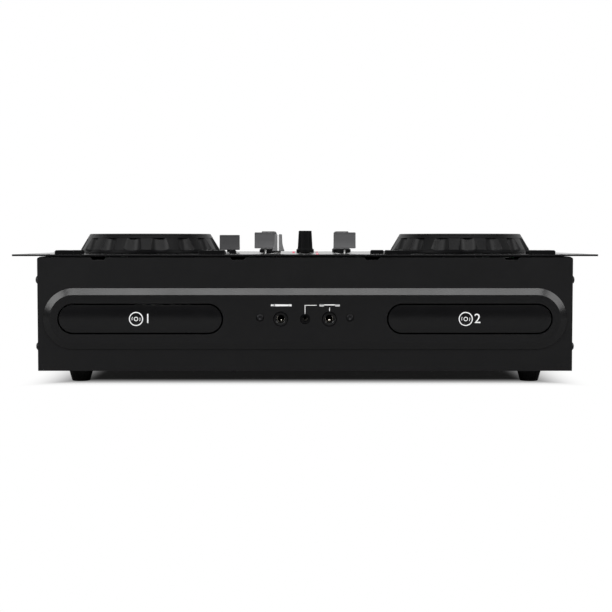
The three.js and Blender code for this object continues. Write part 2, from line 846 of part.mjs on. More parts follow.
function sledRestY() {
  return discCentreY + sledBehindHub;
}

// Small turntable with a centring cone, its motor shaft below
function spindleHub() {
  const shaft = hubShaftLength();
  return turned([
    [0, -shaft],
    [hubShaftRadius, -shaft],
    [hubShaftRadius, 0],
    [hubPlatterRadius, 0],
    [hubPlatterRadius, hubPlatterThickness],
    [hubConeRadius, hubPlatterThickness],
    [hubTipRadius, hubPlatterThickness + hubConeHeight],
    [0, hubPlatterThickness + hubConeHeight],
  ], knobSides);
}

function hubBottomZ() {
  return trayBottomZ - hubUnderTray - hubConeHeight - hubPlatterThickness;
}

function hubShaftLength() {
  return hubBottomZ() - framePlateTopZ + motorHeight / 2 - seatGap;
}

// Pickup carriage bored for its two rails, with its lens on top
function pickupSled() {
  const body = block(sledWidth, sledLength, sledHeight);
  const lens = post(lensRadius, lensHeight + sledHeight / 2, pinSides).translate(0, 0, sledHeight / 2);
  const bores = sides.map((side) => (
    bar(railRadius + seatGap, sledLength + 2 * cutOverrun, holeSides)
      .translate(side * railSpacing / 2, -sledLength / 2 - cutOverrun, sledHeight / 2)
  ));
  return cut(join(body, lens), ...bores);
}

// Hollow jog wheel: sloping scalloped side, plain lip, sunk platter, finger dimple and shaft
function jogWheel() {
  const shoulder = jogRimLift + jogLipHeight;
  const ceiling = jogTopLift - jogWall;
  const slope = Math.atan2(jogRimRadius - jogTopRadius, jogTopLift - shoulder);
  const inner = (radius) => radius - jogFluteDepth - jogWall;
  const hubBottom = jogBaseThickness + 2 * seatGap;
  const shell = turned([
    [0, jogRimLift],
    [jogLipRadius, jogRimLift],
    [jogRimRadius, shoulder],
    [jogTopRadius, jogTopLift - jogEdgeRadius],
    [jogTopRadius - jogEdgeRadius, jogTopLift],
    [jogPlatterRadius, jogTopLift],
    [jogPlatterRadius - jogPlatterDepth, jogTopLift - jogPlatterDepth],
    [0, jogTopLift - jogPlatterDepth],
  ], wheelSides);
  const hollow = turned([
    [0, jogRimLift - cutOverrun],
    [inner(jogRimRadius), jogRimLift - cutOverrun],
    [inner(jogRimRadius), shoulder],
    [inner(jogTopRadius), ceiling],
    [0, ceiling],
  ], wheelInnerSides).rotateZ(Math.PI / wheelInnerSides);
  const fluteLength = (jogTopLift - jogFluteFloorLift) / Math.cos(slope) + jogFluteRadius;
  const fluteReach = jogRimRadius - (jogFluteFloorLift - shoulder) * Math.tan(slope);
  const flutes = [];
  for (let i = 0; i < jogFluteCount; i += 1) {
    flutes.push(post(jogFluteRadius, fluteLength, fluteSides)
      .translate(jogFluteRadius - jogFluteDepth, 0, 0)
      .rotateY(THREE.MathUtils.degToRad(jogFluteLean) - slope)
      .translate(fluteReach, 0, jogFluteFloorLift)
      .rotateZ(i * 2 * Math.PI / jogFluteCount));
  }
  const dimple = turned([
    [0, -jogDimpleDepth],
    [jogDimpleRadius / 2, -jogDimpleDepth * jogDimpleWaistShare],
    [jogDimpleRadius, 0],
    [jogDimpleRadius, cutOverrun],
    [0, cutOverrun],
  ], ringSides).translate(0, -jogDimpleOffset, jogTopLift - jogPlatterDepth);
  const hub = post(jogHubRadius, ceiling + jogWall / 2 - hubBottom, knobSides).translate(0, 0, hubBottom);
  const shaft = post(jogShaftRadius, jogShaftLength + jogWall, pinSides)
    .translate(0, 0, hubBottom - jogShaftLength);
  return join(cut(shell, hollow, ...flutes, dimple), hub, shaft);
}

// Bearing flange on the plate with its boss below
function jogBase() {
  const bottom = -plateThickness - jogBossHeight;
  const bore = jogShaftRadius + seatGap;
  const top = seatGap + jogBaseThickness;
  return turned([
    [bore, bottom],
    [jogBossRadius, bottom],
    [jogBossRadius, seatGap],
    [jogBaseRadius, seatGap],
    [jogBaseRadius, top],
    [bore, top],
    [bore, bottom],
  ], ringSides);
}

// Cap above the plate, retaining flange under it and a stem down to the board's switch
function pushButton({ width, depth, lift }) {
  const capBottom = -plateThickness - seatGap - buttonFlangeThickness;
  const cap = flat(roundedRectangle(width, depth, padCornerRadius), lift - buttonEdgeRound - capBottom,
    cornerSteps)
    .translate(0, 0, capBottom);
  const crownWidth = width - 2 * buttonEdgeRound;
  const crownDepth = depth - 2 * buttonEdgeRound;
  const crown = flat(roundedRectangle(crownWidth, crownDepth, padCornerRadius), lift - capBottom, cornerSteps)
    .translate(0, 0, capBottom);
  const flange = block(width + 2 * buttonFlange, depth + 2 * buttonFlange, buttonFlangeThickness)
    .translate(0, 0, capBottom);
  const stemLength = boardDrop - switchHeight - buttonTravel - seatGap;
  const stem = block(buttonStemSize, buttonStemSize, stemLength)
    .translate(0, 0, -plateThickness - stemLength);
  return join(cap, crown, flange, stem);
}

// Waisted slide-control cap on its flat lever, running along Y
function faderCap(capLift) {
  const waist = capLift + capHeight * capWaistShare;
  const top = capLift + capHeight;
  const half = [
    [capFootDepth / 2, capLift],
    [(capFootDepth + capWaistDepth) / 4 + capScoop / 2, (capLift + waist) / 2],
    [capWaistDepth / 2, waist],
    [capTopDepth / 2, top - capTopRound],
    [capTopDepth / 2 - capTopRound, top],
  ];
  const mirrored = half.map(([y, z]) => [-y, z]).reverse();
  const cap = sideways(outline([...half, ...mirrored]), capWidth, 1);
  const leverBottom = slidePotTopZ + seatGap - plateTopZ;
  const lever = block(leverThickness, leverWidth, capLift + leverIntoCap - leverBottom)
    .translate(0, 0, leverBottom);
  return join(cap, lever);
}

// Flared skirt, tapering grip and the shaft down to its pot
function knob(height) {
  const skirtTop = knobLift + knobSkirtHeight;
  const bottom = potTopZ + seatGap - plateTopZ;
  return turned([
    [0, bottom],
    [knobShaftRadius, bottom],
    [knobShaftRadius, knobLift],
    [knobSkirtRadius, knobLift],
    [knobSkirtRadius, knobLift + knobSkirtEdge],
    [knobWaistRadius, skirtTop],
    [knobTopRadius, height - knobTopRound],
    [knobTopRadius - knobTopRound, height],
    [0, height],
  ], knobSides);
}

// Board with slide pots, rotary pots, key switches and posts up to the plate
function controlBoard() {
  const shape = outline([
    [-boardHalfWidth, boardFrontY],
    [boardHalfWidth, boardFrontY],
    [boardHalfWidth, boardFrontStripEnd],
    [boardWaistHalfWidth, boardFrontStripEnd],
    [boardWaistHalfWidth, boardRearStripStart],
    [boardHalfWidth, boardRearStripStart],
    [boardHalfWidth, boardRearY],
    [-boardHalfWidth, boardRearY],
    [-boardHalfWidth, boardRearStripStart],
    [-boardWaistHalfWidth, boardRearStripStart],
    [-boardWaistHalfWidth, boardFrontStripEnd],
    [-boardHalfWidth, boardFrontStripEnd],
  ]);
  const sheet = flat(shape, boardThickness, 1).translate(0, 0, boardBottomZ);
  const rooted = (width, depth, height, x, y) => (
    block(width, depth, height + boardThickness / 2).translate(x, y, boardTopZ - boardThickness / 2)
  );
  const slidePots = Object.values(faders).map((fader) => (
    rooted(slidePotWidth, fader.travel + slidePotEnds, slidePotHeight, fader.x, faderTrackCentreY(fader))
  ));
  const crossPot = rooted(crossfaderTravel + slidePotEnds, slidePotWidth, slidePotHeight, 0, crossfaderY);
  const pots = knobColumns.flatMap((x) => knobRows.map((y) => rooted(potSize, potSize, potHeight, x, y)));
  const switches = buttons.map((button) => (
    rooted(switchSize, switchSize, switchHeight, button.x, button.y)
  ));
  const postPlaces = [
    ...boardFrontPostX.map((x) => [x, boardFrontY + boardPostSize / 2]),
    ...boardRearPostX.map((x) => [x, boardRearY - boardPostSize / 2]),
  ];
  const posts = sides.flatMap((side) => postPlaces.map(([x, y]) => (
    rooted(boardPostSize, boardPostSize, boardDrop - seatGap, side * x, y)
  )));
  return join(sheet, ...slidePots, crossPot, ...pots, ...switches, ...posts);
}

// Clear window on the plate with the display module below it
function displayWindow() {
  const cover = flat(roundedRectangle(displayWidth, displayDepth, displayCornerRadius), displayLift, cornerSteps)
    .translate(0, 0, seatGap);
  const bodyInset = displayBodyMargin + 2 * slideClearance;
  const drop = plateThickness + boardDrop - seatGap;
  const body = block(displayWidth - bodyInset, displayDepth - bodyInset, drop + seatGap + displayLift / 2)
    .translate(0, 0, -drop);
  return join(cover, body);
}

// Front socket: a bored nose through bezel and panel, with a square body behind them
function frontSocket(noseRadius, boreRadius, bodyWidth, bodyDepth, roundness) {
  const noseLength = bezelDepth + seatGap + sheetThickness + seatGap + jackNoseProud;
  const nose = bar(noseRadius, noseLength + jackEndWall, roundness);
  const body = block(bodyWidth, bodyDepth, bodyWidth).translate(0, noseLength + bodyDepth / 2, -bodyWidth / 2);
  const bore = bar(boreRadius, noseLength + bodyDepth - jackEndWall + cutOverrun, roundness)
    .translate(0, -cutOverrun, 0);
  return cut(join(nose, body), bore);
}

function phonoCentres() {
  const centres = [];
  for (let column = 0; column < phonoColumns; column += 1) {
    for (let row = 0; row < phonoRows; row += 1) {
      centres.push([
        phonoCentreX + (column - (phonoColumns - 1) / 2) * phonoPitchX,
        phonoCentreZ + (row - (phonoRows - 1) / 2) * phonoPitchZ,
      ]);
    }
  }
  return centres;
}

// Block of phono sockets whose rings come out through the rear wall
function rearJackBlock() {
  const width = (phonoColumns - 1) * phonoPitchX + 2 * phonoBlockMargin;
  const height = (phonoRows - 1) * phonoPitchZ + 2 * phonoBlockMargin;
  const front = rearInnerY - seatGap - phonoBlockDepth;
  const body = block(width, phonoBlockDepth, height)
    .translate(phonoCentreX, front + phonoBlockDepth / 2, phonoCentreZ - height / 2);
  const length = housingRearY + phonoProud - front - phonoBlockDepth / 2;
  const ringY = front + phonoBlockDepth / 2;
  const rings = phonoCentres().map(([x, z]) => bar(phonoRingRadius, length, pinSides).translate(x, ringY, z));
  const bores = phonoCentres().map(([x, z]) => (
    bar(phonoBoreRadius, length, holeSides).translate(x, ringY + cutOverrun, z)
  ));
  return cut(join(body, ...rings), ...bores);
}

// Mains inlet and rocker housing in one flanged body, its mouth towards +Y
function powerInlet() {
  const flange = upright(roundedRectangle(inletFlangeWidth, inletFlangeHeight, inletFlangeRadius),
    inletFlangeThickness, cornerSteps).translate(0, seatGap, 0);
  const body = block(inletBodyWidth, inletBodyDepth + inletFlangeThickness / 2, inletBodyHeight)
    .translate(0, (inletFlangeThickness / 2 - inletBodyDepth) / 2 + seatGap, -inletBodyHeight / 2);
  const faceY = seatGap + inletFlangeThickness;
  const mouth = block(inletMouthWidth, inletMouthDepth + cutOverrun, inletMouthHeight)
    .translate(0, faceY - (inletMouthDepth - cutOverrun) / 2, -inletMouthDrop - inletMouthHeight / 2);
  const well = block(rockerWellWidth, rockerWellDepth + cutOverrun, rockerWellHeight)
    .translate(0, faceY - (rockerWellDepth - cutOverrun) / 2, rockerRise - rockerWellHeight / 2);
  const rooted = inletPinLength + cutOverrun;
  const pinY = faceY - inletMouthDepth - cutOverrun + rooted / 2;
  const pins = [-1, 0, 1].map((step) => (
    block(inletPinWidth, rooted, inletPinHeight)
      .translate(step * inletPinPitch, pinY, pinRise(step) - inletMouthDrop - inletPinHeight / 2)
  ));
  return join(cut(join(flange, body), mouth, well), ...pins);
}

// The middle pin of a mains inlet sits higher than the outer two
function pinRise(step) {
  return step === 0 ? inletPinRise : -inletPinRise;
}

// Rocker that tips about X, at rest with its upper end pressed in
function powerSwitch() {
  const half = [
    [rockerFaceDip, 0],
    [rockerFaceOut, rockerHalfHeight],
    [rockerShoulder, rockerHalfHeight],
    [-rockerBackIn, rockerBackHalf],
  ];
  const mirrored = half.slice(1).map(([y, z]) => [y, -z]).reverse();
  return sideways(outline([...half, ...mirrored]), rockerWidth, 1)
    .rotateX(THREE.MathUtils.degToRad(rockerTilt));
}

// Supply board with transformer, smoothing capacitor and finned heat sink
function powerSupply() {
  const boardZ = housingFloorZ + supplyPegHeight;
  const rootZ = boardZ + boardThickness / 2;
  const rooted = (piece, x, y) => piece.translate(x, y, rootZ);
  const sheet = block(supplyWidth, supplyDepth, boardThickness).translate(0, 0, boardZ);
  const pegX = (supplyWidth - supplyPegSize) / 2;
  const pegY = (supplyDepth - supplyPegSize) / 2;
  const pegs = sides.flatMap((side) => sides.map((end) => (
    block(supplyPegSize, supplyPegSize, supplyPegHeight)
      .translate(side * pegX, end * pegY, housingFloorZ + seatGap)
  )));
  const transformer = rooted(block(transformerWidth, transformerDepth, transformerHeight), 0, 0);
  const capacitor = rooted(post(capacitorRadius, capacitorHeight, knobSides), (transformerWidth + supplyWidth) / 4, 0);
  const sinkX = -(transformerWidth + supplyWidth) / 4;
  const sink = rooted(block(heatSinkThickness, heatSinkLength, heatSinkHeight), sinkX, 0);
  const fins = [];
  const finCount = Math.floor(heatSinkLength / heatSinkFinPitch);
  for (let i = 0; i < finCount; i += 1) {
    const y = (i - (finCount - 1) / 2) * heatSinkFinPitch;
    fins.push(rooted(block(heatSinkFinDepth, heatSinkThickness / 2, heatSinkHeight),
      sinkX - heatSinkFinDepth / 2, y));
  }
  return join(sheet, ...pegs, transformer, capacitor, sink, ...fins);
}

// The scene graph
const model = new THREE.Group();
const player = new THREE.Group();
model.add(player);

function addPart(name, geometry, look, x = 0, y = 0, z = 0) {
  const mesh = new THREE.Mesh(geometry, new THREE.MeshStandardMaterial(look));
  mesh.name = name;
  mesh.position.set(x, y, z);
  player.add(mesh);
  return mesh;
}

addPart("chassis_pan", chassisPan(), finishes.blackSteel);
addPart("front_panel", frontPanel(), finishes.blackSteel);
addPart("front_bezel", frontBezel(), finishes.blackPlastic, 0, bezelBackY - bezelRim, frontLineZ);
addPart("top_panel", topPanel(), finishes.blackSteel);
addPart("control_board", controlBoard(), finishes.board);
addPart("power_supply", powerSupply(), finishes.board, supplyX, supplyY, 0);
addPart("rear_jack_block", rearJackBlock(), finishes.nickel);
addPart("power_inlet", powerInlet(), finishes.blackPlastic, inletCentreX, housingRearY, inletCentreZ);
addPart("power_switch", powerSwitch(), finishes.glossPlastic,
  inletCentreX, housingRearY + seatGap + inletFlangeThickness - rockerFaceDip, inletCentreZ + rockerRise);

const feet = { front: frontFaceY + footInsetY, rear: housingRearY - footInsetY };
for (const [row, y] of Object.entries(feet)) {
  for (const side of sides) {
    const name = `foot_${row}_${side < 0 ? "left" : "right"}`;
    addPart(name, foot(), finishes.rubber, side * (housingWidth / 2 - footInsetX), y, 0);
  }
}

const noseY = bezelFaceY - jackNoseProud;
const [micX, phonesX] = largeJackCentres;
addPart("mic_socket", frontSocket(largeJackNoseRadius, largeJackBoreRadius, largeJackBodyWidth,
  largeJackBodyDepth, ringSides), finishes.blackPlastic, micX, noseY, frontLineZ);
addPart("phones_socket", frontSocket(largeJackNoseRadius, largeJackBoreRadius, largeJackBodyWidth,
  largeJackBodyDepth, ringSides), finishes.blackPlastic, phonesX, noseY, frontLineZ);
addPart("phones_mini_socket", frontSocket(smallJackNoseRadius, smallJackBoreRadius, smallJackBodyWidth,
  smallJackBodyDepth, knobSides), finishes.blackPlastic, 0, noseY, frontLineZ);

// One disc drive, jog wheel, display and row of buttons for each deck
const deckNames = ["left", "right"];
deckNames.forEach((deck, index) => {
  const driveX = deckCentres[index];
  const jogX = jogCentres[index];
  const gearX = driveX + rackOffsetX - gearPitchRadius;
  addPart(`disc_drive_frame_${deck}`, discDriveFrame(), finishes.blackPlastic, driveX, 0, 0);
  addPart(`disc_tray_${deck}`, discTray(), finishes.blackPlastic, driveX, trayFrontY, trayBottomZ);
  addPart(`tray_door_${deck}`, trayDoor(), finishes.blackPlastic, driveX, bezelFaceY, frontLineZ);
  addPart(`loading_gear_${deck}`, loadingGear(), finishes.whitePlastic, gearX, gearBehindFront, gearBottomZ());
  addPart(`spindle_hub_${deck}`, spindleHub(), finishes.zincSteel, driveX, discCentreY, hubBottomZ());
  addPart(`pickup_sled_${deck}`, pickupSled(), finishes.blackPlastic, driveX, sledRestY(), sledBottomZ());
  addPart(`jog_base_${deck}`, jogBase(), finishes.blackPlastic, jogX, jogCentreY, plateTopZ);
  const wheel = addPart(`jog_wheel_${deck}`, jogWheel(), finishes.blackPlastic, jogX, jogCentreY, plateTopZ);
  wheel.rotation.z = -Math.PI / 2 + (index === 0 ? Math.PI / jogFluteCount : 0);
  addPart(`display_window_${deck}`, displayWindow(), finishes.glossPlastic, jogX, displayY, plateTopZ);
});

const buttonNames = [
  "cue_button_left", "play_button_left", "play_button_right", "cue_button_right",
  "shift_button", "loop_button",
  ...deckNames.flatMap((deck) => ["eject", "mode", "skip"].map((use) => `${use}_button_${deck}`)),
];
buttons.forEach((button, index) => {
  const look = index < padCentres.length ? finishes.rubber : finishes.blackPlastic;
  addPart(buttonNames[index], pushButton(button), look, button.x, button.y, plateTopZ);
});

const faderNames = {
  channelLeft: ["channel_fader_left", channelCapLift],
  channelRight: ["channel_fader_right", channelCapLift],
  pitchLeft: ["pitch_fader_left", lowCapLift],
  pitchRight: ["pitch_fader_right", lowCapLift],
};
for (const [key, [name, lift]] of Object.entries(faderNames)) {
  addPart(name, faderCap(lift), finishes.greyPlastic, faders[key].x, faders[key].y, plateTopZ);
}
const crossfader = addPart("crossfader", faderCap(lowCapLift), finishes.greyPlastic,
  -crossfaderTravel / 2, crossfaderY, plateTopZ);
crossfader.rotation.z = Math.PI / 2;

const knobColumnNames = ["left", "centre", "right"];
const knobRowNames = {
  left: ["low_knob", "mid_knob", "high_knob"],
  centre: ["phones_level_knob", "phones_mix_knob", "master_knob"],
  right: ["low_knob", "mid_knob", "high_knob"],
};
knobColumnNames.forEach((column, columnIndex) => {
  knobRowNames[column].forEach((use, rowIndex) => {
    const central = column === "centre";
    const name = central ? use : `${use}_${column}`;
    const look = central ? finishes.blackPlastic : finishes.greyPlastic;
    const form = knob(central ? knobHeight : toneKnobHeight);
    addPart(name, form, look, knobColumns[columnIndex], knobRows[rowIndex], plateTopZ);
  });
});

// The origin goes to the middle of the footprint, on the surface the player stands on
const extent = new THREE.Box3().setFromObject(player);
player.position.y = -(extent.min.y + extent.max.y) / 2;

export default model;
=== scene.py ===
"""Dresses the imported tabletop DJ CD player: finishes, fittings, printed marks and a plain studio."""

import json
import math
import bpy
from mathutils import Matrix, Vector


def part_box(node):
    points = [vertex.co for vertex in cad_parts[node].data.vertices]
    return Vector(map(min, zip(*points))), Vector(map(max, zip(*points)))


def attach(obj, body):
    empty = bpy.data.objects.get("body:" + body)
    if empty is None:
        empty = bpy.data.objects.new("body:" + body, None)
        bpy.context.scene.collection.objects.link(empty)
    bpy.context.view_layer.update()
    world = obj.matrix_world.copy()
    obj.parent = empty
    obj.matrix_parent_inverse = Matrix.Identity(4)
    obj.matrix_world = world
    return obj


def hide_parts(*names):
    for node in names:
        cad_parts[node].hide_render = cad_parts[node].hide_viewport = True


bl_info = {
    "name": "Tabletop DJ CD Player",
    "version": (1, 0, 0),
    "blender": (4, 5, 0),
    "location": "View3D > Sidebar > CD Player",
    "description": "Gives the packed CD player its finishes, fittings, printed marks and a plain studio",
    "category": "Object",
}

import bmesh
import bpy
from mathutils import Euler, Matrix, Vector

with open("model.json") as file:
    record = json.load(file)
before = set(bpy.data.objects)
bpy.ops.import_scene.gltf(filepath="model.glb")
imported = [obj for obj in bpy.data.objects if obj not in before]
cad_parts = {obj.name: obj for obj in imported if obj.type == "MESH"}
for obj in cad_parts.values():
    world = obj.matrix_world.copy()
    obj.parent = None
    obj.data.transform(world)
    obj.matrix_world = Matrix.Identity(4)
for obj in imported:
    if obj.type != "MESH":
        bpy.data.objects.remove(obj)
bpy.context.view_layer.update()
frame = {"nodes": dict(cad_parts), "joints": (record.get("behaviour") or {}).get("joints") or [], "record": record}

MM = 0.001
WELD = 0.000002
FULL_TURN = math.tau
QUARTER_TURN = math.pi / 2
SIDES = ("left", "right")
BOTH_WAYS = (-1, 1)

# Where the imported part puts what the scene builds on
PLATE_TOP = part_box("top_panel")[1].z
PLATE_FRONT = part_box("top_panel")[0].y
PANEL_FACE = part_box("front_panel")[0].y
BEZEL_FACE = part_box("front_bezel")[0].y
HOUSING_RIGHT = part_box("chassis_pan")[1].x
HOUSING_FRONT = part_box("chassis_pan")[0].y
HOUSING_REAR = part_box("chassis_pan")[1].y
HOUSING_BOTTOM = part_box("chassis_pan")[0].z
JOINTS = {joint["name"]: joint for joint in frame["joints"]}


def measure(node):
    """A CAD node's low corner, high corner and middle."""
    low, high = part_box(node)
    return low, high, (low + high) / 2


def joint_node(joint):
    """The first CAD node of the body that a joint moves."""
    return frame["record"]["behaviour"]["bodies"][joint["child"]][0]


def in_mm(points):
    """Points given in millimetres, as metres."""
    return [tuple(value * MM for value in point) for point in points]


def linear(hex_colour):
    """Turns an sRGB hex colour into the linear RGBA that shaders take."""
    shades = [int(hex_colour[i:i + 2], 16) / 255 for i in (1, 3, 5)]
    return tuple(s / 12.92 if s <= 0.04045 else ((s + 0.055) / 1.055) ** 2.4 for s in shades) + (1.0,)


def length(name, description, default):
    """A length property in metres."""
    return bpy.props.FloatProperty(name=name, description=description, default=default, min=0, precision=5,
                                   unit="LENGTH")


def colour(name, description, default):
    """A colour property with its default as an sRGB hex value."""
    return bpy.props.FloatVectorProperty(name=name, description=description, default=linear(default), size=4,
                                         min=0, max=1, subtype="COLOR")


def power(name, description, default):
    """A lamp's power in watts."""
    return bpy.props.FloatProperty(name=name, description=description, default=default, min=0, unit="POWER")


def count(name, description, default):
    """A number of like things round a circle."""
    return bpy.props.IntProperty(name=name, description=description, default=default, min=3)


def slant(name, description, degrees):
    """An angle property with its default in degrees."""
    return bpy.props.FloatProperty(name=name, description=description, default=math.radians(degrees),
                                   subtype="ANGLE")


# Sizes and colours that a user would change

class HousingSettings(bpy.types.PropertyGroup):
    """Sheet metal and its fittings."""

    sheet_edge: length("Sheet edge", "Radius on the edges of the steel sheets", 0.35 * MM)
    coat_colour: colour("Coat", "Powder coat on the steel", "#0c0c0d")
    coat_grain: length("Coat grain", "Size of the powder coat's peel", 0.9 * MM)
    plate_edge: length("Plate edge", "Radius on the edges of the top plate", 0.12 * MM)
    side_screw_radius: length("Side screw radius", "Head radius of the side screws", 3.5 * MM)
    side_screw_rise: length("Side screw rise", "How far a side screw's head stands out", 2.9 * MM)
    small_screw_radius: length("Small screw radius", "Head radius of the other screws", 2.6 * MM)
    small_screw_rise: length("Small screw rise", "How far a small screw's head stands out", 1.2 * MM)


class FrontSettings(bpy.types.PropertyGroup):
    """Bezel, tray doors, sockets and their marks."""

    bevel_width: length("Bevel width", "Width of the bezel's sloping border", 5.9 * MM)
    bevel_depth: length("Bevel depth", "How far the bezel's border rises", 2.9 * MM)
    bezel_edge: length("Bezel edge", "Radius on the bezel's edges", 0.35 * MM)
    door_gap: length("Door gap", "Gap round each tray door", 1.2 * MM)
    door_crown: length("Door crown", "How far a door's middle stands out", 1.4 * MM)
    door_edge: length("Door edge", "Radius round a door's face", 0.6 * MM)
    bezel_colour: colour("Bezel", "Moulded bezel", "#080809")
    door_colour: colour("Doors", "Moulded tray doors", "#070708")
    ink_colour: colour("Ink", "Printed marks", "#dcdcdc")
    mark_line: length("Mark line", "Width of a printed line", 0.85 * MM)
    screw_well: length("Screw well", "How deep the bezel's screws sit", 0.9 * MM)


class ControlSettings(bpy.types.PropertyGroup):
    """Jog wheels, knobs, slide caps and buttons."""

    grip_count: count("Grips", "Scallops round a jog wheel", 16)
    grip_radius: length("Grip radius", "Radius of a scallop's hollow", 11.0 * MM)
    grip_depth: length("Grip depth", "How deep a scallop is at its foot", 3.0 * MM)
    grip_lift: length("Grip lift", "Height of a scallop's foot above the plate", 4.3 * MM)
    grip_foot: length("Grip foot", "Height of the rounding at a scallop's foot", 4.5 * MM)
    grip_edge: length("Grip edge", "Radius on a scallop's edges", 0.3 * MM)
    grip_lean: slant("Grip lean", "How much steeper a scallop is than the side", 11)
    wheel_rim: length("Wheel rim", "Radius of a jog wheel at its lip", 62.6 * MM)
    wheel_top: length("Wheel top", "Radius of a jog wheel at its top", 55.0 * MM)
    wheel_colour: colour("Jog wheel", "Moulded jog wheels", "#080809")
    knob_grooves: count("Knob grooves", "Grooves round a knob", 18)
    groove_depth: length("Groove depth", "How deep a knob's groove is", 0.3 * MM)
    knob_skirt: length("Knob skirt", "Radius of a knob's skirt", 8.15 * MM)
    knob_waist: length("Knob waist", "Radius of a knob above its skirt", 6.9 * MM)
    knob_top: length("Knob top", "Radius of a knob at its top", 6.0 * MM)
    tone_knob_colour: colour("Tone knobs", "Grip of the outer knobs", "#565656")
    black_knob_colour: colour("Black knobs", "Centre knobs and all skirts", "#080809")
    cap_colour: colour("Channel caps", "Caps of the channel faders", "#525253")
    pale_cap_colour: colour("Crossfader cap", "Cap of the crossfader", "#69696a")
    dark_cap_colour: colour("Pitch caps", "Caps of the pitch faders", "#434344")
    cap_edge: length("Cap edge", "Radius on a slide cap's edges", 0.6 * MM)
    cap_foot: length("Cap foot", "Depth of a slide cap at its foot", 10.2 * MM)
    cap_waist: length("Cap waist", "Depth of a slide cap at its waist", 6.4 * MM)
    cap_top: length("Cap top", "Depth of a slide cap at its top", 5.7 * MM)
    cap_line: length("Cap line", "Width of the line on a slide cap", 1.3 * MM)
    pad_colour: colour("Buttons", "Silicone buttons", "#070708")
    lamp_colour: colour("Lamps", "Red indicator lamps", "#c05a6c")


class StudioSettings(bpy.types.PropertyGroup):
    """Floor, lamps and camera."""

    focal_length: bpy.props.FloatProperty(name="Focal length", description="Lens in mm on a 36 mm wide frame",
                                          default=75.86, min=1)
    camera_pitch: slant("Camera pitch", "How far the camera looks down", 2.885)
    camera_distance: length("Camera distance", "From the lens to the plate's front edge", 1060 * MM)
    camera_rise: length("Camera rise", "Lens above the plate's top", 10.95 * MM)
    camera_offset: length("Camera offset", "Lens right of the middle", 0.8 * MM)
    floor_colour: colour("Floor", "Floor and backdrop", "#b4b4b4")
    key_power: power("Key lamp", "Power of the lamp above the front", 24)
    top_power: power("Top lamp", "Power of the lamp overhead", 11)
    left_power: power("Left lamp", "Power of the lamp at the left", 33)
    right_power: power("Right lamp", "Power of the lamp at the right", 28)


# Finishes

def add_node(tree, kind, settings=None, links=None):
    """Adds a node, sets its sockets or its own values, and links its inputs to (node, output) pairs."""
    node = tree.nodes.new(kind)
    for key, value in (settings or {}).items():
        if isinstance(key, int) or key in node.inputs:
            node.inputs[key].default_value = value
        else:
            setattr(node, key, value)
    for key, (source, output) in (links or {}).items():
        tree.links.new(source.outputs[output], node.inputs[key])
    return node


def blank_material(name):
    """A material with no nodes yet."""
    made = bpy.data.materials.new(name)
    made.use_nodes = True
    made.node_tree.nodes.clear()
    return made


def tone_ramp(tree, noise, base, spread, low=0, high=1):
    """A colour that wanders a little either way with a noise."""
    ramp = add_node(tree, "ShaderNodeValToRGB", links={"Fac": (noise, 0)})
    for stop, position, scale in zip(ramp.color_ramp.elements, (low, high), (1 - spread, 1 + spread)):
        stop.position = position
        stop.color = [min(1, shade * scale) for shade in base[:3]] + [1]
    return ramp


# Noise of a grained finish: layers and roughness of the fine one, layers and size of the slow one, and the
# part of their range that is used
FINE_LAYERS = 3.0
FINE_ROUGHNESS = 0.55
SLOW_LAYERS = 2.0
SLOW_SIZE = 25 * MM
NOISE_LOW = 0.3
NOISE_HIGH = 0.7
# How far the shine wanders, as a share of the roughness
SHINE_SWAY_SHARE = 0.08


def grained(name, base, roughness, grain, relief, spread, sockets):
    """A finish with a fine grain in its height and colour, and a slow change in its shine."""
    made = blank_material(name)
    tree = made.node_tree
    place = add_node(tree, "ShaderNodeTexCoord")
    fine = add_node(tree, "ShaderNodeTexNoise",
                    {"Scale": 1 / grain, "Detail": FINE_LAYERS, "Roughness": FINE_ROUGHNESS},
                    {"Vector": (place, "Object")})
    slow = add_node(tree, "ShaderNodeTexNoise", {"Scale": 1 / SLOW_SIZE, "Detail": SLOW_LAYERS},
                    {"Vector": (place, "Object")})
    sway = SHINE_SWAY_SHARE * roughness
    shine = add_node(tree, "ShaderNodeMapRange", {
        "From Min": NOISE_LOW, "From Max": NOISE_HIGH,
        "To Min": roughness - sway, "To Max": roughness + sway}, {"Value": (slow, 0)})
    tint = tone_ramp(tree, fine, base, spread, NOISE_LOW, NOISE_HIGH)
    bump = add_node(tree, "ShaderNodeBump", {"Strength": 1.0, "Distance": relief}, {"Height": (fine, 0)})
    shader = add_node(tree, "ShaderNodeBsdfPrincipled", sockets, {
        "Base Color": (tint, "Color"), "Roughness": (shine, "Result"), "Normal": (bump, "Normal")})
    add_node(tree, "ShaderNodeOutputMaterial", links={"Surface": (shader, "BSDF")})
    return made


# Size of the slow change on a ringed finish, how far its shine wanders and how far its tone does
RINGED_SIZE = 18 * MM
RINGED_SWAY = 0.05
RINGED_SPREAD_SHARE = 0.15


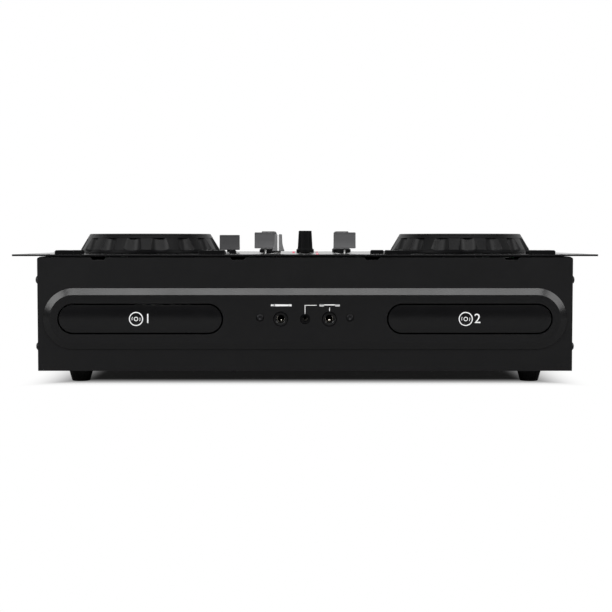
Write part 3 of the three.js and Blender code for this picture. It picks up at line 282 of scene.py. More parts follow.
def ringed(name, base, roughness, pitch, relief, centre, metallic=0.0):
    """A finish with fine rings round a centre, as a lathe or a ring texture leaves them."""
    made = blank_material(name)
    tree = made.node_tree
    place = add_node(tree, "ShaderNodeTexCoord")
    middle = add_node(tree, "ShaderNodeMapping", {"Location": (-centre[0], -centre[1], 0)},
                      {"Vector": (place, "Object")})
    flat = add_node(tree, "ShaderNodeVectorMath", {"operation": "MULTIPLY", 1: (1, 1, 0)},
                    {0: (middle, "Vector")})
    reach = add_node(tree, "ShaderNodeVectorMath", {"operation": "LENGTH"}, {0: (flat, "Vector")})
    rings = add_node(tree, "ShaderNodeMath", {"operation": "MULTIPLY", 1: FULL_TURN / pitch},
                     {0: (reach, "Value")})
    wave = add_node(tree, "ShaderNodeMath", {"operation": "SINE"}, {0: (rings, "Value")})
    slow = add_node(tree, "ShaderNodeTexNoise", {"Scale": 1 / RINGED_SIZE}, {"Vector": (place, "Object")})
    shine = add_node(tree, "ShaderNodeMapRange", {"To Min": roughness - RINGED_SWAY,
                                                  "To Max": roughness + RINGED_SWAY}, {"Value": (slow, 0)})
    tint = tone_ramp(tree, slow, base, RINGED_SPREAD_SHARE)
    bump = add_node(tree, "ShaderNodeBump", {"Strength": 1.0, "Distance": relief},
                    {"Height": (wave, "Value")})
    shader = add_node(tree, "ShaderNodeBsdfPrincipled", {"Metallic": metallic}, {
        "Base Color": (tint, "Color"), "Roughness": (shine, "Result"), "Normal": (bump, "Normal")})
    add_node(tree, "ShaderNodeOutputMaterial", links={"Surface": (shader, "BSDF")})
    return made


# Solder mask: its three greens, the size of the traces under it, and its grain
BOARD_GREENS = ("#0f2e1c", "#143f26", "#215c38")
TRACE_SIZE = 14 * MM
TRACE_SEAM_SHARE = 0.03
TRACE_LENGTH_SHARE = 0.9
TRACE_ROW_SHARE = 0.22
BOARD_GRAIN = 0.8 * MM
BOARD_RELIEF = 0.01 * MM
BOARD_ROUGHNESS = 0.35


def board_finish():
    """Green solder mask with its copper traces showing through as a faint paler pattern."""
    made = blank_material("green_solder_mask")
    tree = made.node_tree
    place = add_node(tree, "ShaderNodeTexCoord")
    dark, middle, pale = (linear(green) for green in BOARD_GREENS)
    traces = add_node(tree, "ShaderNodeTexBrick", {
        "Color1": dark, "Color2": middle, "Mortar": pale, "Scale": 1 / TRACE_SIZE,
        "Mortar Size": TRACE_SEAM_SHARE, "Brick Width": TRACE_LENGTH_SHARE, "Row Height": TRACE_ROW_SHARE},
        {"Vector": (place, "Object")})
    fine = add_node(tree, "ShaderNodeTexNoise", {"Scale": 1 / BOARD_GRAIN}, {"Vector": (place, "Object")})
    bump = add_node(tree, "ShaderNodeBump", {"Distance": BOARD_RELIEF}, {"Height": (fine, 0)})
    shader = add_node(tree, "ShaderNodeBsdfPrincipled", {"Roughness": BOARD_ROUGHNESS},
                      {"Base Color": (traces, "Color"), "Normal": (bump, "Normal")})
    add_node(tree, "ShaderNodeOutputMaterial", links={"Surface": (shader, "BSDF")})
    return made


# How strongly a finish mirrors: textured coats, moulded plastic, jog wheels and matt parts
TEXTURED = {"Specular IOR Level": 0.22}
MOULDED = {"Specular IOR Level": 0.27}
GRIPPED = {"Specular IOR Level": 0.15}
MATT = {"Specular IOR Level": 0.08}
METAL = {"Metallic": 1.0}
WAXY = {"Subsurface Weight": 0.05, "Subsurface Scale": 0.5 * MM}
GLOWING = {"Emission Color": "lamp_colour", "Emission Strength": 0.5}

# Each row: key, name, colour as a hex value or a setting, roughness, size of the grain in mm or as a setting,
# height of the grain in mm, spread of tone as a share, and other sockets
FINISHES = (
    # Polyester powder coat on steel: even black with a fine orange peel that breaks up its soft shine
    ("coat", "powder_coated_steel", "coat_colour", 0.4, "coat_grain", 0.02, 0.1, TEXTURED),
    # The plate's coat is satin: smoother, so that it mirrors the room at a low angle
    ("plate_coat", "satin_coated_plate", "coat_colour", 0.2, "coat_grain", 0.001, 0.1, TEXTURED),
    # Black ABS from a spark-eroded mould: a finer, duller grain than the coat
    ("bezel", "black_abs_bezel", "bezel_colour", 0.23, 0.45, 0.004, 0.1, MOULDED),
    ("door", "black_abs_door", "door_colour", 0.25, 0.45, 0.004, 0.1, MOULDED),
    # The jog wheels are the same plastic with a coarser grain, so that a finger holds them
    ("wheel", "black_abs_jog_wheel", "wheel_colour", 0.4, 0.7, 0.01, 0.12, GRIPPED),
    # Loader frames are glass-filled nylon: dull, with paler specks
    ("nylon", "glass_filled_nylon", "#0e0e0f", 0.58, 0.8, 0.03, 0.3, TEXTURED),
    # The caps of the slides are one plastic in three greys
    ("pale_cap", "pale_grey_abs_slide_cap", "pale_cap_colour", 0.5, 0.5, 0.015, 0.06, MATT),
    ("cap", "grey_abs_slide_cap", "cap_colour", 0.5, 0.5, 0.015, 0.06, MATT),
    ("dark_cap", "dark_grey_abs_slide_cap", "dark_cap_colour", 0.5, 0.5, 0.015, 0.06, MATT),
    # Stamped levers are bare steel, so they scatter more light than plated parts
    ("bright_steel", "stamped_bright_steel", "#e6e6e4", 0.6, 0.4, 0.01, 0.05, METAL),
    # Soft-touch paint on the knobs has a broad, weak shine
    ("tone_knob", "grey_soft_touch_paint", "tone_knob_colour", 0.55, 0.4, 0.01, 0.05, {}),
    ("black_knob", "black_soft_touch_paint", "black_knob_colour", 0.5, 0.4, 0.01, 0.1, MATT),
    # Silicone keys and rubber feet have nearly no shine and a slight bloom
    ("key", "moulded_silicone", "pad_colour", 0.55, 0.35, 0.01, 0.12, MATT),
    ("foot", "moulded_rubber", "#0c0c0c", 0.75, 0.6, 0.03, 0.2, TEXTURED),
    # Acetal is waxy, off-white and slightly see-through at its edges
    ("acetal", "natural_acetal", "#d8d6cc", 0.38, 0.9, 0.006, 0.03, WAXY),
    # The rocker, the windows and the glass in them are smooth, with faint ripples from the mould
    ("gloss", "gloss_black_polycarbonate", "#0a0a0b", 0.12, 2, 0.002, 0.05, {}),
    ("screen", "dark_tinted_window", "#0b0c0e", 0.1, 3, 0.001, 0.05, {"Coat Weight": 0.5}),
    ("liquid_crystal", "liquid_crystal_glass", "#1b211d", 0.2, 1.2, 0.001, 0.12, {}),
    # Nickel plate is bright and slightly warm, zinc plate is bluer and duller
    ("nickel", "nickel_plate", "#c9c4b8", 0.26, 0.5, 0.004, 0.06, METAL),
    ("zinc", "zinc_plated_steel", "#b4b8bc", 0.36, 0.6, 0.006, 0.1, METAL),
    # Black oxide on the screws leaves a dark metal with some shine on its edges
    ("black_screw", "black_oxide_steel", "#2c2c2d", 0.34, 0.5, 0.008, 0.15, METAL),
    # Screen-printed ink is matt and slightly uneven
    ("ink", "screen_printed_ink", "ink_colour", 0.6, 0.3, 0.002, 0.05, {}),
    # The lamps are tinted epoxy, lit faintly from inside
    ("lamp", "red_epoxy_lamp", "lamp_colour", 0.25, 0.8, 0.001, 0.05, GLOWING),
    # The inserts of the phono sockets tell the channels by colour
    ("red_insert", "red_moulded_insert", "#a8221f", 0.4, 0.6, 0.006, 0.05, {}),
    ("white_insert", "white_moulded_insert", "#d9d8d4", 0.4, 0.6, 0.006, 0.03, {}),
    # The pickup's lens has a blue coating
    ("lens", "coated_pickup_lens", "#1c2a55", 0.06, 2, 0.0005, 0.1, {"Coat Weight": 1.0}),
)
LOOKS = {}


def setting(scene, value):
    """The sidebar's value where one is named, or else the value itself."""
    for name, group in SETTINGS.items():
        if value in group.__annotations__:
            return getattr(getattr(scene, name), value)
    return value


def make_finishes(scene):
    """Every finish of the player."""
    for key, name, base, roughness, grain, relief, spread, sockets in FINISHES:
        base = linear(base) if base.startswith("#") else setting(scene, base)
        grain = setting(scene, grain) if isinstance(grain, str) else grain * MM
        levels = {socket: setting(scene, level) for socket, level in sockets.items()}
        LOOKS[key] = grained(name, base, roughness, grain, relief * MM, spread, levels)
    LOOKS["board"] = board_finish()


# Modelling steps that several pieces share

def deselect():
    """Leaves nothing selected."""
    bpy.ops.object.select_all(action="DESELECT")


def only(piece):
    """Leaves one piece selected and active."""
    deselect()
    piece.select_set(True)
    bpy.context.view_layer.objects.active = piece


def edit(piece):
    """Opens a piece for editing with nothing selected."""
    only(piece)
    bpy.ops.object.mode_set(mode="EDIT")
    bpy.ops.mesh.select_all(action="DESELECT")


def close():
    """Ends editing."""
    bpy.ops.object.mode_set(mode="OBJECT")


def pick(piece, test, kind="FACE"):
    """In edit mode, selects the faces or edges that pass a test."""
    bpy.ops.mesh.select_mode(type=kind)
    bpy.ops.mesh.select_all(action="DESELECT")
    mesh = bmesh.from_edit_mesh(piece.data)
    for item in {"FACE": mesh.faces, "EDGE": mesh.edges}[kind]:
        if test(item):
            item.select_set(True)
    bmesh.update_edit_mesh(piece.data)


def weld():
    """In edit mode, merges doubles and turns every face outwards."""
    bpy.ops.mesh.select_all(action="SELECT")
    bpy.ops.mesh.remove_doubles(threshold=WELD)
    bpy.ops.mesh.normals_make_consistent(inside=False)


def cut_off(point, direction):
    """In edit mode, cuts away what lies beyond a plane and closes the cut."""
    bpy.ops.mesh.select_all(action="SELECT")
    bpy.ops.mesh.bisect(plane_co=point, plane_no=direction, clear_outer=True, use_fill=True)


def settle(piece):
    """Puts a piece's place into its mesh, so its object sits at the origin."""
    only(piece)
    bpy.ops.object.transform_apply(location=True, rotation=True, scale=True)
    return piece


# How closely an edge follows an axis to count as running along it
ALONG_SHARE = 0.99


def slab(name, size, centre, corner=0, along=2, segments=10):
    """A block whose four edges along one axis are rounded."""
    deselect()
    bpy.ops.mesh.primitive_cube_add(size=1, location=centre, scale=size)
    piece = settle(bpy.context.object)
    piece.name = name
    if corner:
        edit(piece)
        pick(piece, lambda edge: abs((edge.verts[0].co - edge.verts[1].co).normalized()[along]) > ALONG_SHARE,
             "EDGE")
        bpy.ops.mesh.bevel(offset=corner, segments=segments, affect="EDGES")
        weld()
        close()
    return piece


# Turns that take +Z to the front, to the rear, along X and nowhere
TO_FRONT = (QUARTER_TURN, 0, 0)
TO_REAR = (-QUARTER_TURN, 0, 0)
TO_SIDE = (0, QUARTER_TURN, 0)
UPRIGHT = (0, 0, 0)


def rod(radius, depth, centre, turn=UPRIGHT, corners=48):
    """A round bar to cut with."""
    deselect()
    bpy.ops.mesh.primitive_cylinder_add(vertices=corners, radius=radius, depth=depth, location=centre,
                                        rotation=turn)
    return settle(bpy.context.object)


def chain(name, points):
    """Corners joined by edges, one after the other, left selected in edit mode."""
    deselect()
    bpy.ops.mesh.primitive_plane_add(size=MM)
    piece = bpy.context.object
    piece.name = name
    bpy.ops.object.mode_set(mode="EDIT")
    bpy.ops.mesh.select_mode(type="VERT")
    bpy.ops.mesh.select_all(action="SELECT")
    bpy.ops.mesh.merge(type="CENTER")
    last = Vector(points[0])
    bpy.ops.transform.translate(value=last)
    for point in points[1:]:
        bpy.ops.mesh.extrude_region_move(TRANSFORM_OT_translate={"value": Vector(point) - last})
        last = Vector(point)
    bpy.ops.mesh.select_all(action="SELECT")
    bpy.ops.mesh.remove_doubles(threshold=WELD)
    return piece


def turned(name, profile, steps, centre=(0, 0, 0), turn=UPRIGHT):
    """A profile of (radius, height) points spun round Z, then turned and put in place."""
    piece = chain(name, [(radius, 0, height) for radius, height in profile])
    bpy.ops.mesh.spin(steps=steps, angle=FULL_TURN, center=(0, 0, 0), axis=(0, 0, 1))
    weld()
    close()
    piece.matrix_world = Matrix.Translation(centre) @ Euler(turn).to_matrix().to_4x4()
    return settle(piece)


def drawn(name, points, run=None):
    """A closed outline filled with one face and, where a run is given, drawn out along it."""
    piece = chain(name, [*points, points[0]])
    bpy.ops.mesh.edge_face_add()
    if run:
        bpy.ops.mesh.extrude_region_move(TRANSFORM_OT_translate={"value": run})
        weld()
    close()
    return piece


def modify(piece, kind, **settings):
    """Adds a modifier and applies it."""
    only(piece)
    modifier = piece.modifiers.new(kind.lower(), kind)
    for key, value in settings.items():
        setattr(modifier, key, value)
    bpy.ops.object.modifier_apply(modifier=modifier.name)
    return piece


def carve(piece, *cutters, operation="DIFFERENCE"):
    """Cuts each cutter out of a piece, or the piece down to the cutter, and removes the cutter."""
    for cutter in cutters:
        modify(piece, "BOOLEAN", operation=operation, object=cutter, solver="EXACT")
        bpy.data.objects.remove(cutter)
    return piece


def break_edges(piece, radius, angle=25, segments=3):
    """Rounds every edge that turns by more than an angle."""
    return modify(piece, "BEVEL", width=radius, segments=segments, limit_method="ANGLE",
                  angle_limit=math.radians(angle), harden_normals=False)


def copy_piece(piece, name, matrix=None):
    """A copy of a finished piece with its own mesh."""
    twin = bpy.data.objects.new(name, piece.data.copy())
    bpy.context.collection.objects.link(twin)
    if matrix is not None:
        twin.data.transform(matrix)
    return twin


def join_pieces(name, pieces):
    """Joins pieces into one object."""
    deselect()
    for piece in pieces:
        piece.select_set(True)
    bpy.context.view_layer.objects.active = pieces[0]
    if len(pieces) > 1:
        bpy.ops.object.join()
    pieces[0].name = name
    return pieces[0]


# How far faces of one flat side may turn before they count as two
FLAT_ANGLE = math.radians(0.5)
# Radius that a CAD solid's edges get where nothing else is said
PLAIN_EDGE = 0.3 * MM


def smooth_copy(node, name, edge, segments, angle=28):
    """A copy of a CAD solid with its doubles merged, its flat faces made whole and its edges broken."""
    piece = copy_piece(frame["nodes"][node], name)
    piece.data.materials.clear()
    edit(piece)
    weld()
    bpy.ops.mesh.dissolve_limited(angle_limit=FLAT_ANGLE)
    close()
    return break_edges(piece, edge, angle, segments)


def finish_piece(piece, look, body, slot, *nodes, angle=32):
    """Gives a piece its finish and its body, and hides the CAD nodes that it stands for. The slot is not used."""
    only(piece)
    bpy.ops.object.shade_smooth_by_angle(angle=math.radians(angle))
    modify(piece, "WEIGHTED_NORMAL", keep_sharp=True)
    if look:
        piece.data.materials.clear()
        piece.data.materials.append(LOOKS[look])
    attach(piece, body)
    if nodes:
        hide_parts(*nodes)
    return piece


def dress_node(node, look, body, slot, edge=PLAIN_EDGE, segments=2):
    """Replaces a CAD node by its own shape with broken edges and a finish."""
    return finish_piece(smooth_copy(node, f"{node}_dressed", edge, segments), look, body, slot, node)


# Printed marks: flat shapes drawn in their own plane, then laid on a surface

INK_RISE = 0.03 * MM
WRAP_ROWS = 24
ARC_STEP = math.radians(8)
ARC_LEAST_STEPS = 3
# How much of its type's size a printed digit is high
DIGIT_SHARE = 0.72


def ink_bar(start, end, width):
    """A straight printed line."""
    start = Vector((*start, 0))
    end = Vector((*end, 0))
    run = end - start
    deselect()
    bpy.ops.mesh.primitive_plane_add(size=1)
    piece = bpy.context.object
    turn = Euler((0, 0, math.atan2(run.y, run.x)))
    piece.matrix_world = (Matrix.Translation((start + end) / 2) @ turn.to_matrix().to_4x4()
                          @ Matrix.Diagonal((run.length + width, width, 1, 1)))
    return settle(piece)


def ink_arc(centre, radius, width, start=0, sweep=FULL_TURN):
    """A printed arc; angles are anticlockwise from +X."""
    ends = [radius - width / 2, radius + width / 2]
    piece = chain("arc", [(end * math.cos(start), end * math.sin(start), 0) for end in ends])
    bpy.ops.mesh.select_all(action="SELECT")
    steps = max(ARC_LEAST_STEPS, round(abs(sweep) / ARC_STEP))
    bpy.ops.mesh.spin(steps=steps, angle=sweep, center=(0, 0, 0), axis=(0, 0, 1))
    bpy.ops.mesh.select_all(action="SELECT")
    bpy.ops.mesh.remove_doubles(threshold=WELD)
    close()
    piece.location = (*centre, 0)
    return settle(piece)


def ink_polygon(points):
    """A filled printed outline."""
    return drawn("polygon", [(*point, 0) for point in points])


def ink_digit(text, centre, height):
    """A printed number."""
    deselect()
    bpy.ops.object.text_add()
    piece = bpy.context.object
    piece.data.body = text
    piece.data.size = height / DIGIT_SHARE
    piece.data.align_x = "CENTER"
    piece.data.align_y = "CENTER"
    bpy.ops.object.convert(target="MESH")
    piece = bpy.context.object
    piece.location = (*centre, 0)
    return settle(piece)


FACING_FRONT = Euler(TO_FRONT).to_matrix().to_4x4()
FACING_UP = Matrix.Identity(4)


def lay_ink(name, shapes, place, facing, body, wrap=None):
    """Joins printed shapes, lays them on a surface facing one way and gives them their thickness."""
    piece = join_pieces(name, shapes)
    piece.data.transform(Matrix.Translation(place) @ facing)
    if wrap is not None:
        low = min(corner.co.z for corner in piece.data.vertices)
        high = max(corner.co.z for corner in piece.data.vertices)
        edit(piece)
        for row in range(1, WRAP_ROWS):
            bpy.ops.mesh.select_all(action="SELECT")
            bpy.ops.mesh.bisect(plane_co=(0, 0, low + (high - low) * row / WRAP_ROWS), plane_no=(0, 0, 1))
        close()
        modify(piece, "SHRINKWRAP", target=wrap, wrap_method="NEAREST_SURFACEPOINT", offset=0)
    edit(piece)
    weld()
    close()
    modify(piece, "SOLIDIFY", thickness=2 * INK_RISE, offset=0)
    return finish_piece(piece, "ink", body, "cap_grey")


# Operators, one for each group of like pieces

class PlayerOperator:
    """Shared options of the operators."""

    bl_options = {"REGISTER", "UNDO"}


class PLAYER_OT_finishes(PlayerOperator, bpy.types.Operator):
    """Make every finish of the player."""

    bl_idname = "cd_player.finishes"
    bl_label = "Finishes"

    def execute(self, context):
        make_finishes(context.scene)
        return {"FINISHED"}


class PLAYER_OT_housing(PlayerOperator, bpy.types.Operator):
    """Dress the folded steel housing and the top plate."""

    bl_idname = "cd_player.housing"
    bl_label = "Housing"

    def execute(self, context):
        housing = context.scene.player_housing
        for node in ("chassis_pan", "front_panel"):
            dress_node(node, "coat", "housing", "painted_steel", housing.sheet_edge)
        dress_node("top_panel", "plate_coat", "housing", "painted_steel", housing.plate_edge)
        return {"FINISHED"}


SOCKET_SEAT = 0.3 * MM
BEZEL_STEPS = 32
DOOR_STEPS = 24
BEZEL_SCREW_RADIUS = 2.7 * MM
BEZEL_SCREW_X = 37.0 * MM
BEZEL_SCREW_Z = 55.2 * MM
# How much deeper a screw's well is than the screw stands in it
WELL_SPARE = 1.0 * MM
WELL_CORNERS = 40
# Each socket's nose and bore radius, and the radius of the contact that shows inside and its shift in X
SOCKETS = {
    "mic_socket": {"nose": 5.7 * MM, "bore": 3.25 * MM, "contact": 0.7 * MM, "shift": 0.5 * MM},
    "phones_socket": {"nose": 5.7 * MM, "bore": 3.25 * MM, "contact": 1.15 * MM, "shift": 0},
    "phones_mini_socket": {"nose": 3.7 * MM, "bore": 1.85 * MM, "contact": 0.5 * MM, "shift": 0.5 * MM},
}


class PLAYER_OT_bezel(PlayerOperator, bpy.types.Operator):
    """Model the full-round bezel with its sloping border and its holes."""

    bl_idname = "cd_player.bezel"
    bl_label = "Bezel"

    def execute(self, context):
        front = context.scene.player_front
        low, high, centre = measure("front_bezel")
        size = high - low
        through = 3 * size.y
        rim = size.y - front.bevel_depth
        bezel = slab("bezel", (size.x, rim, size.z), (centre.x, high.y - rim / 2, centre.z),
                     size.z / 2, along=1, segments=BEZEL_STEPS)
        edit(bezel)
        pick(bezel, lambda face: face.normal.y < -ALONG_SHARE)
        bpy.ops.mesh.inset(thickness=front.bevel_width, depth=0)
        bpy.ops.transform.translate(value=(0, -front.bevel_depth, 0))
        close()
        cutters = []
        for side in SIDES:
            door_low, door_high, middle = measure(f"tray_door_{side}")
            door = door_high - door_low
            gap = front.door_gap
            cutters.append(slab("door_hole", (door.x + 2 * gap, through, door.z + 2 * gap), middle,
                                door.z / 2 + gap, along=1, segments=DOOR_STEPS))
        for node, socket in SOCKETS.items():
            middle = measure(node)[2]
            cutters.append(rod(socket["nose"] + SOCKET_SEAT, through, (middle.x, centre.y, middle.z),
                               TO_FRONT))
        for way in BOTH_WAYS:
            cutters.append(rod(BEZEL_SCREW_RADIUS + SOCKET_SEAT, 2 * (front.screw_well + WELL_SPARE),
                               (way * BEZEL_SCREW_X, BEZEL_FACE, BEZEL_SCREW_Z), TO_FRONT, WELL_CORNERS))
        carve(bezel, *cutters)
        break_edges(bezel, front.bezel_edge, angle=14)
        finish_piece(bezel, "bezel", "housing", "bezel_plastic", "front_bezel", angle=20)
        return {"FINISHED"}


# Disc mark: radii of its rings, its middle and the number's middle from the door's middle, the number's
# height, and the start and sweep of the two gleams
DISC_RING = 5.4 * MM
DISC_HUB = 1.5 * MM
DISC_X = -3.4 * MM
DISC_NUMBER_X = 6.2 * MM
DISC_NUMBER_HEIGHT = 8 * MM
DISC_HUB_LINE_SHARE = 0.7
GLEAM_SHARE = 0.62
GLEAM_LINE_SHARE = 0.5
GLEAM_STARTS = (math.radians(20), math.radians(200))
GLEAM_SWEEP = math.radians(50)
# Corners of the drum that crowns a door, and its length as a share of the door's
CROWN_CORNERS = 384
CROWN_LENGTH_SHARE = 1.5


class PLAYER_OT_doors(PlayerOperator, bpy.types.Operator):
    """Model the crowned tray doors with their printed disc marks."""

    bl_idname = "cd_player.doors"
    bl_label = "Tray doors"

    def execute(self, context):
        front = context.scene.player_front
        for number, side in enumerate(SIDES, 1):
            low, high, centre = measure(f"tray_door_{side}")
            size = high - low
            half = size.z / 2
            door = slab(f"door_{side}", size, centre, half, along=1, segments=DOOR_STEPS)
            radius = (half ** 2 + front.door_crown ** 2) / (2 * front.door_crown)
            drum = rod(radius, CROWN_LENGTH_SHARE * size.x, (centre.x, low.y + radius, centre.z), TO_SIDE,
                       CROWN_CORNERS)
            carve(door, drum, operation="INTERSECT")
            break_edges(door, front.door_edge, angle=20)
            finish_piece(door, "door", f"tray_{side}", "bezel_plastic", f"tray_door_{side}")
            lay_ink(f"disc_mark_{side}", self.disc_mark(number, front.mark_line), (centre.x, low.y, centre.z),
                    FACING_FRONT, f"tray_{side}", wrap=door)
        return {"FINISHED"}

    @staticmethod
    def disc_mark(number, line):
        """A ring with a hub for a disc, and the deck's number beside it."""
        return [
            ink_arc((DISC_X, 0), DISC_RING, line),
            ink_arc((DISC_X, 0), DISC_HUB, DISC_HUB_LINE_SHARE * line),
            *[ink_arc((DISC_X, 0), GLEAM_SHARE * DISC_RING, GLEAM_LINE_SHARE * line, start, GLEAM_SWEEP)
              for start in GLEAM_STARTS],
            ink_digit(str(number), (DISC_NUMBER_X, 0), DISC_NUMBER_HEIGHT),
        ]


# Socket marks: their height, and the middle of each in X
MARK_Z = 65.45 * MM
MIC_X = -19.7 * MM
PHONES_X = 20.2 * MM
# Hand microphone: places from its middle, and its head's radius
MIC_HEAD_RADIUS = 0.85 * MM
MIC_HEAD = -7.5 * MM
MIC_HEAD_CORNERS = 24
MIC_COLLAR = -5.9 * MM
MIC_COLLAR_HALF = 0.6 * MM
MIC_BODY_START = -4.9 * MM
MIC_BODY_END = 6.4 * MM
MIC_TAPER_SHARE = 0.8
MIC_CABLE_START = 7.5 * MM
MIC_CABLE_END = 7.9 * MM
# Headphones: half the band and its rise, length of a cup and its drop
BAND_HALF = 7.6 * MM
BAND_RISE = 0.35 * MM
CUP_LENGTH = 2.2 * MM
CUP_DROP = 0.1 * MM
# Bracket to the small socket and tick to the large one
LEAD_X = 9.3 * MM
LEAD_FOOT_Z = 58.8 * MM
TICK_TOP_Z = 63.4 * MM
TICK_FOOT_Z = 60.9 * MM
# Widths as shares of the printed line
COLLAR_LINE_SHARE = 0.7
CABLE_LINE_SHARE = 1.9
CUP_LINE_SHARE = 1.7
LEAD_LINE_SHARE = 0.6


class PLAYER_OT_front_marks(PlayerOperator, bpy.types.Operator):
    """Print the socket marks on the bezel."""

    bl_idname = "cd_player.front_marks"
    bl_label = "Front marks"

    def execute(self, context):
        line = context.scene.player_front.mark_line
        shapes = [*self.microphone(line), *self.headphones(line), *self.leads(LEAD_LINE_SHARE * line)]
        lay_ink("socket_marks", shapes, (0, BEZEL_FACE, 0), FACING_FRONT, "housing")
        return {"FINISHED"}

    @staticmethod
    def microphone(line):
        """Hand microphone lying down: head, collar, tapering body and cable."""
        radius = MIC_HEAD_RADIUS
        turns = [FULL_TURN * i / MIC_HEAD_CORNERS for i in range(MIC_HEAD_CORNERS)]
        start = MIC_X + MIC_BODY_START
        end = MIC_X + MIC_BODY_END
        collar = MIC_X + MIC_COLLAR
        taper = MIC_TAPER_SHARE * radius
        return [
            ink_polygon([(MIC_X + MIC_HEAD + radius * math.cos(a), MARK_Z + radius * math.sin(a))
                         for a in turns]),
            ink_bar((collar, MARK_Z - MIC_COLLAR_HALF), (collar, MARK_Z + MIC_COLLAR_HALF),
                    COLLAR_LINE_SHARE * line),
            ink_polygon([(start, MARK_Z - radius), (end, MARK_Z - taper), (end, MARK_Z + taper),
                         (start, MARK_Z + radius)]),
            ink_bar((MIC_X + MIC_CABLE_START, MARK_Z), (MIC_X + MIC_CABLE_END, MARK_Z),
                    CABLE_LINE_SHARE * line),
        ]

    @staticmethod
    def headphones(line):
        """Headphones seen flat: a long band with a wide cup at each end."""
        band = MARK_Z + BAND_RISE
        cup = MARK_Z - CUP_DROP
        return [
            ink_bar((PHONES_X - BAND_HALF, band), (PHONES_X + BAND_HALF, band), line),
            *[ink_bar((PHONES_X + way * BAND_HALF, cup), (PHONES_X + way * (BAND_HALF - CUP_LENGTH), cup),
                      CUP_LINE_SHARE * line) for way in BOTH_WAYS],
        ]

    @staticmethod
    def leads(width):
        """The bracket from the headphones to the small socket, and the tick to the large one."""
        return [
            ink_bar((LEAD_X, MARK_Z), (0, MARK_Z), width),
            ink_bar((0, MARK_Z), (0, LEAD_FOOT_Z), width),
            ink_bar((PHONES_X, TICK_TOP_Z), (PHONES_X, TICK_FOOT_Z), width),
        ]


# Nose of a socket: how its outer edge is rounded, and the step and funnel that lead into its bore
NOSE_FLARE = 0.5 * MM
NOSE_ROUND_SHARES = (0.4, 0.1)
NOSE_STEP_SHARE = 0.55
NOSE_STEP_SLOPE = 0.2 * MM
NOSE_STEP_DEPTH = 0.4 * MM
NOSE_FUNNEL_DEPTH = 0.9 * MM
NOSE_BORE_DEPTH = 1.4 * MM
# Body behind the panel
SOCKET_BODY_SINK = 4 * MM
SOCKET_BODY_CORNER = 0.8 * MM
SOCKET_BORE_SHARE = 0.9
# Nickel sleeve deep inside: its wall, its play in the bore, and where it starts and ends
SLEEVE_WALL = 0.35 * MM
SLEEVE_PLAY = 0.02 * MM
SLEEVE_LIP = 12 * MM
SLEEVE_BACK = 18 * MM
# Contact: how deep and how low it sits, how flat its tip is and how far it leans
CONTACT_DEPTH = 3.6 * MM
CONTACT_DROP_SHARE = 0.3
CONTACT_FLAT_SHARE = 0.6
CONTACT_LEAN = math.radians(65)
CONTACT_ROWS = 6


class PLAYER_OT_sockets(PlayerOperator, bpy.types.Operator):
    """Model the front sockets with their nickel sleeves."""

    bl_idname = "cd_player.sockets"
    bl_label = "Front sockets"

    def execute(self, context):
        for node, socket in SOCKETS.items():
            low, high, centre = measure(node)
            bore = socket["bore"]
            face = (centre.x, low.y, centre.z)
            body_front = PANEL_FACE + SOCKET_BODY_SINK
            # Heights run out of the panel, so the spin stands on its back and is turned to the front
            nose = self.nose(socket["nose"], bore, body_front - low.y)
            piece = turned(f"{node}_nose", nose, 64, face, TO_FRONT)
            finish_piece(piece, "bezel", "housing", "black_plastic", angle=40)
            width = high.x - low.x
            body = slab(f"{node}_body", (width, high.y - body_front, width),
                        (centre.x, (high.y + body_front) / 2, centre.z), SOCKET_BODY_CORNER,
                        along=1, segments=4)
            carve(body, rod(bore, 2 * SOCKET_BORE_SHARE * (high.y - low.y), face, TO_FRONT))
            finish_piece(body, "nylon", "housing", "black_plastic", node)
            inner = bore - SLEEVE_WALL
            outer = bore - SLEEVE_PLAY
            sleeve = turned(f"{node}_sleeve", [
                (inner, -SLEEVE_BACK), (outer, -SLEEVE_BACK), (outer, -SLEEVE_LIP), (inner, -SLEEVE_LIP),
                (inner, -SLEEVE_BACK)], 48, face, TO_FRONT)
            finish_piece(sleeve, "nickel", "housing", "nickel")
            place = (centre.x + socket["shift"], low.y + CONTACT_DEPTH, centre.z - CONTACT_DROP_SHARE * bore)
            contact = turned(f"{node}_contact", self.tip(socket["contact"]), 32, place, (CONTACT_LEAN, 0, 0))
            finish_piece(contact, "nickel", "housing", "nickel")
        return {"FINISHED"}

    @staticmethod
    def nose(radius, bore, depth):
        """Section of a nose with its rounded edge and its funnel."""
        across, down = NOSE_ROUND_SHARES
        step = bore + NOSE_STEP_SHARE * (radius - bore)
        return [
            (bore, -depth), (radius, -depth), (radius, -NOSE_FLARE),
            (radius - across * NOSE_FLARE, -down * NOSE_FLARE), (radius - NOSE_FLARE, 0),
            (step + NOSE_STEP_SLOPE, 0), (step, -NOSE_STEP_DEPTH), (bore + NOSE_FLARE, -NOSE_FUNNEL_DEPTH),
            (bore, -NOSE_BORE_DEPTH), (bore, -depth)]

    @staticmethod
    def tip(radius):
        """Section of the rounded tip of the spring contact that shows low inside the bore."""
        turns = [QUARTER_TURN * i / CONTACT_ROWS for i in range(CONTACT_ROWS + 1)]
        flat = CONTACT_FLAT_SHARE * radius
        return [(0, -radius), *((radius * math.cos(a), flat * math.sin(a)) for a in turns)]


# How far each wheel is turned in the photo
PARKED_ANGLES = {"left": math.radians(-75.5), "right": math.radians(-90)}
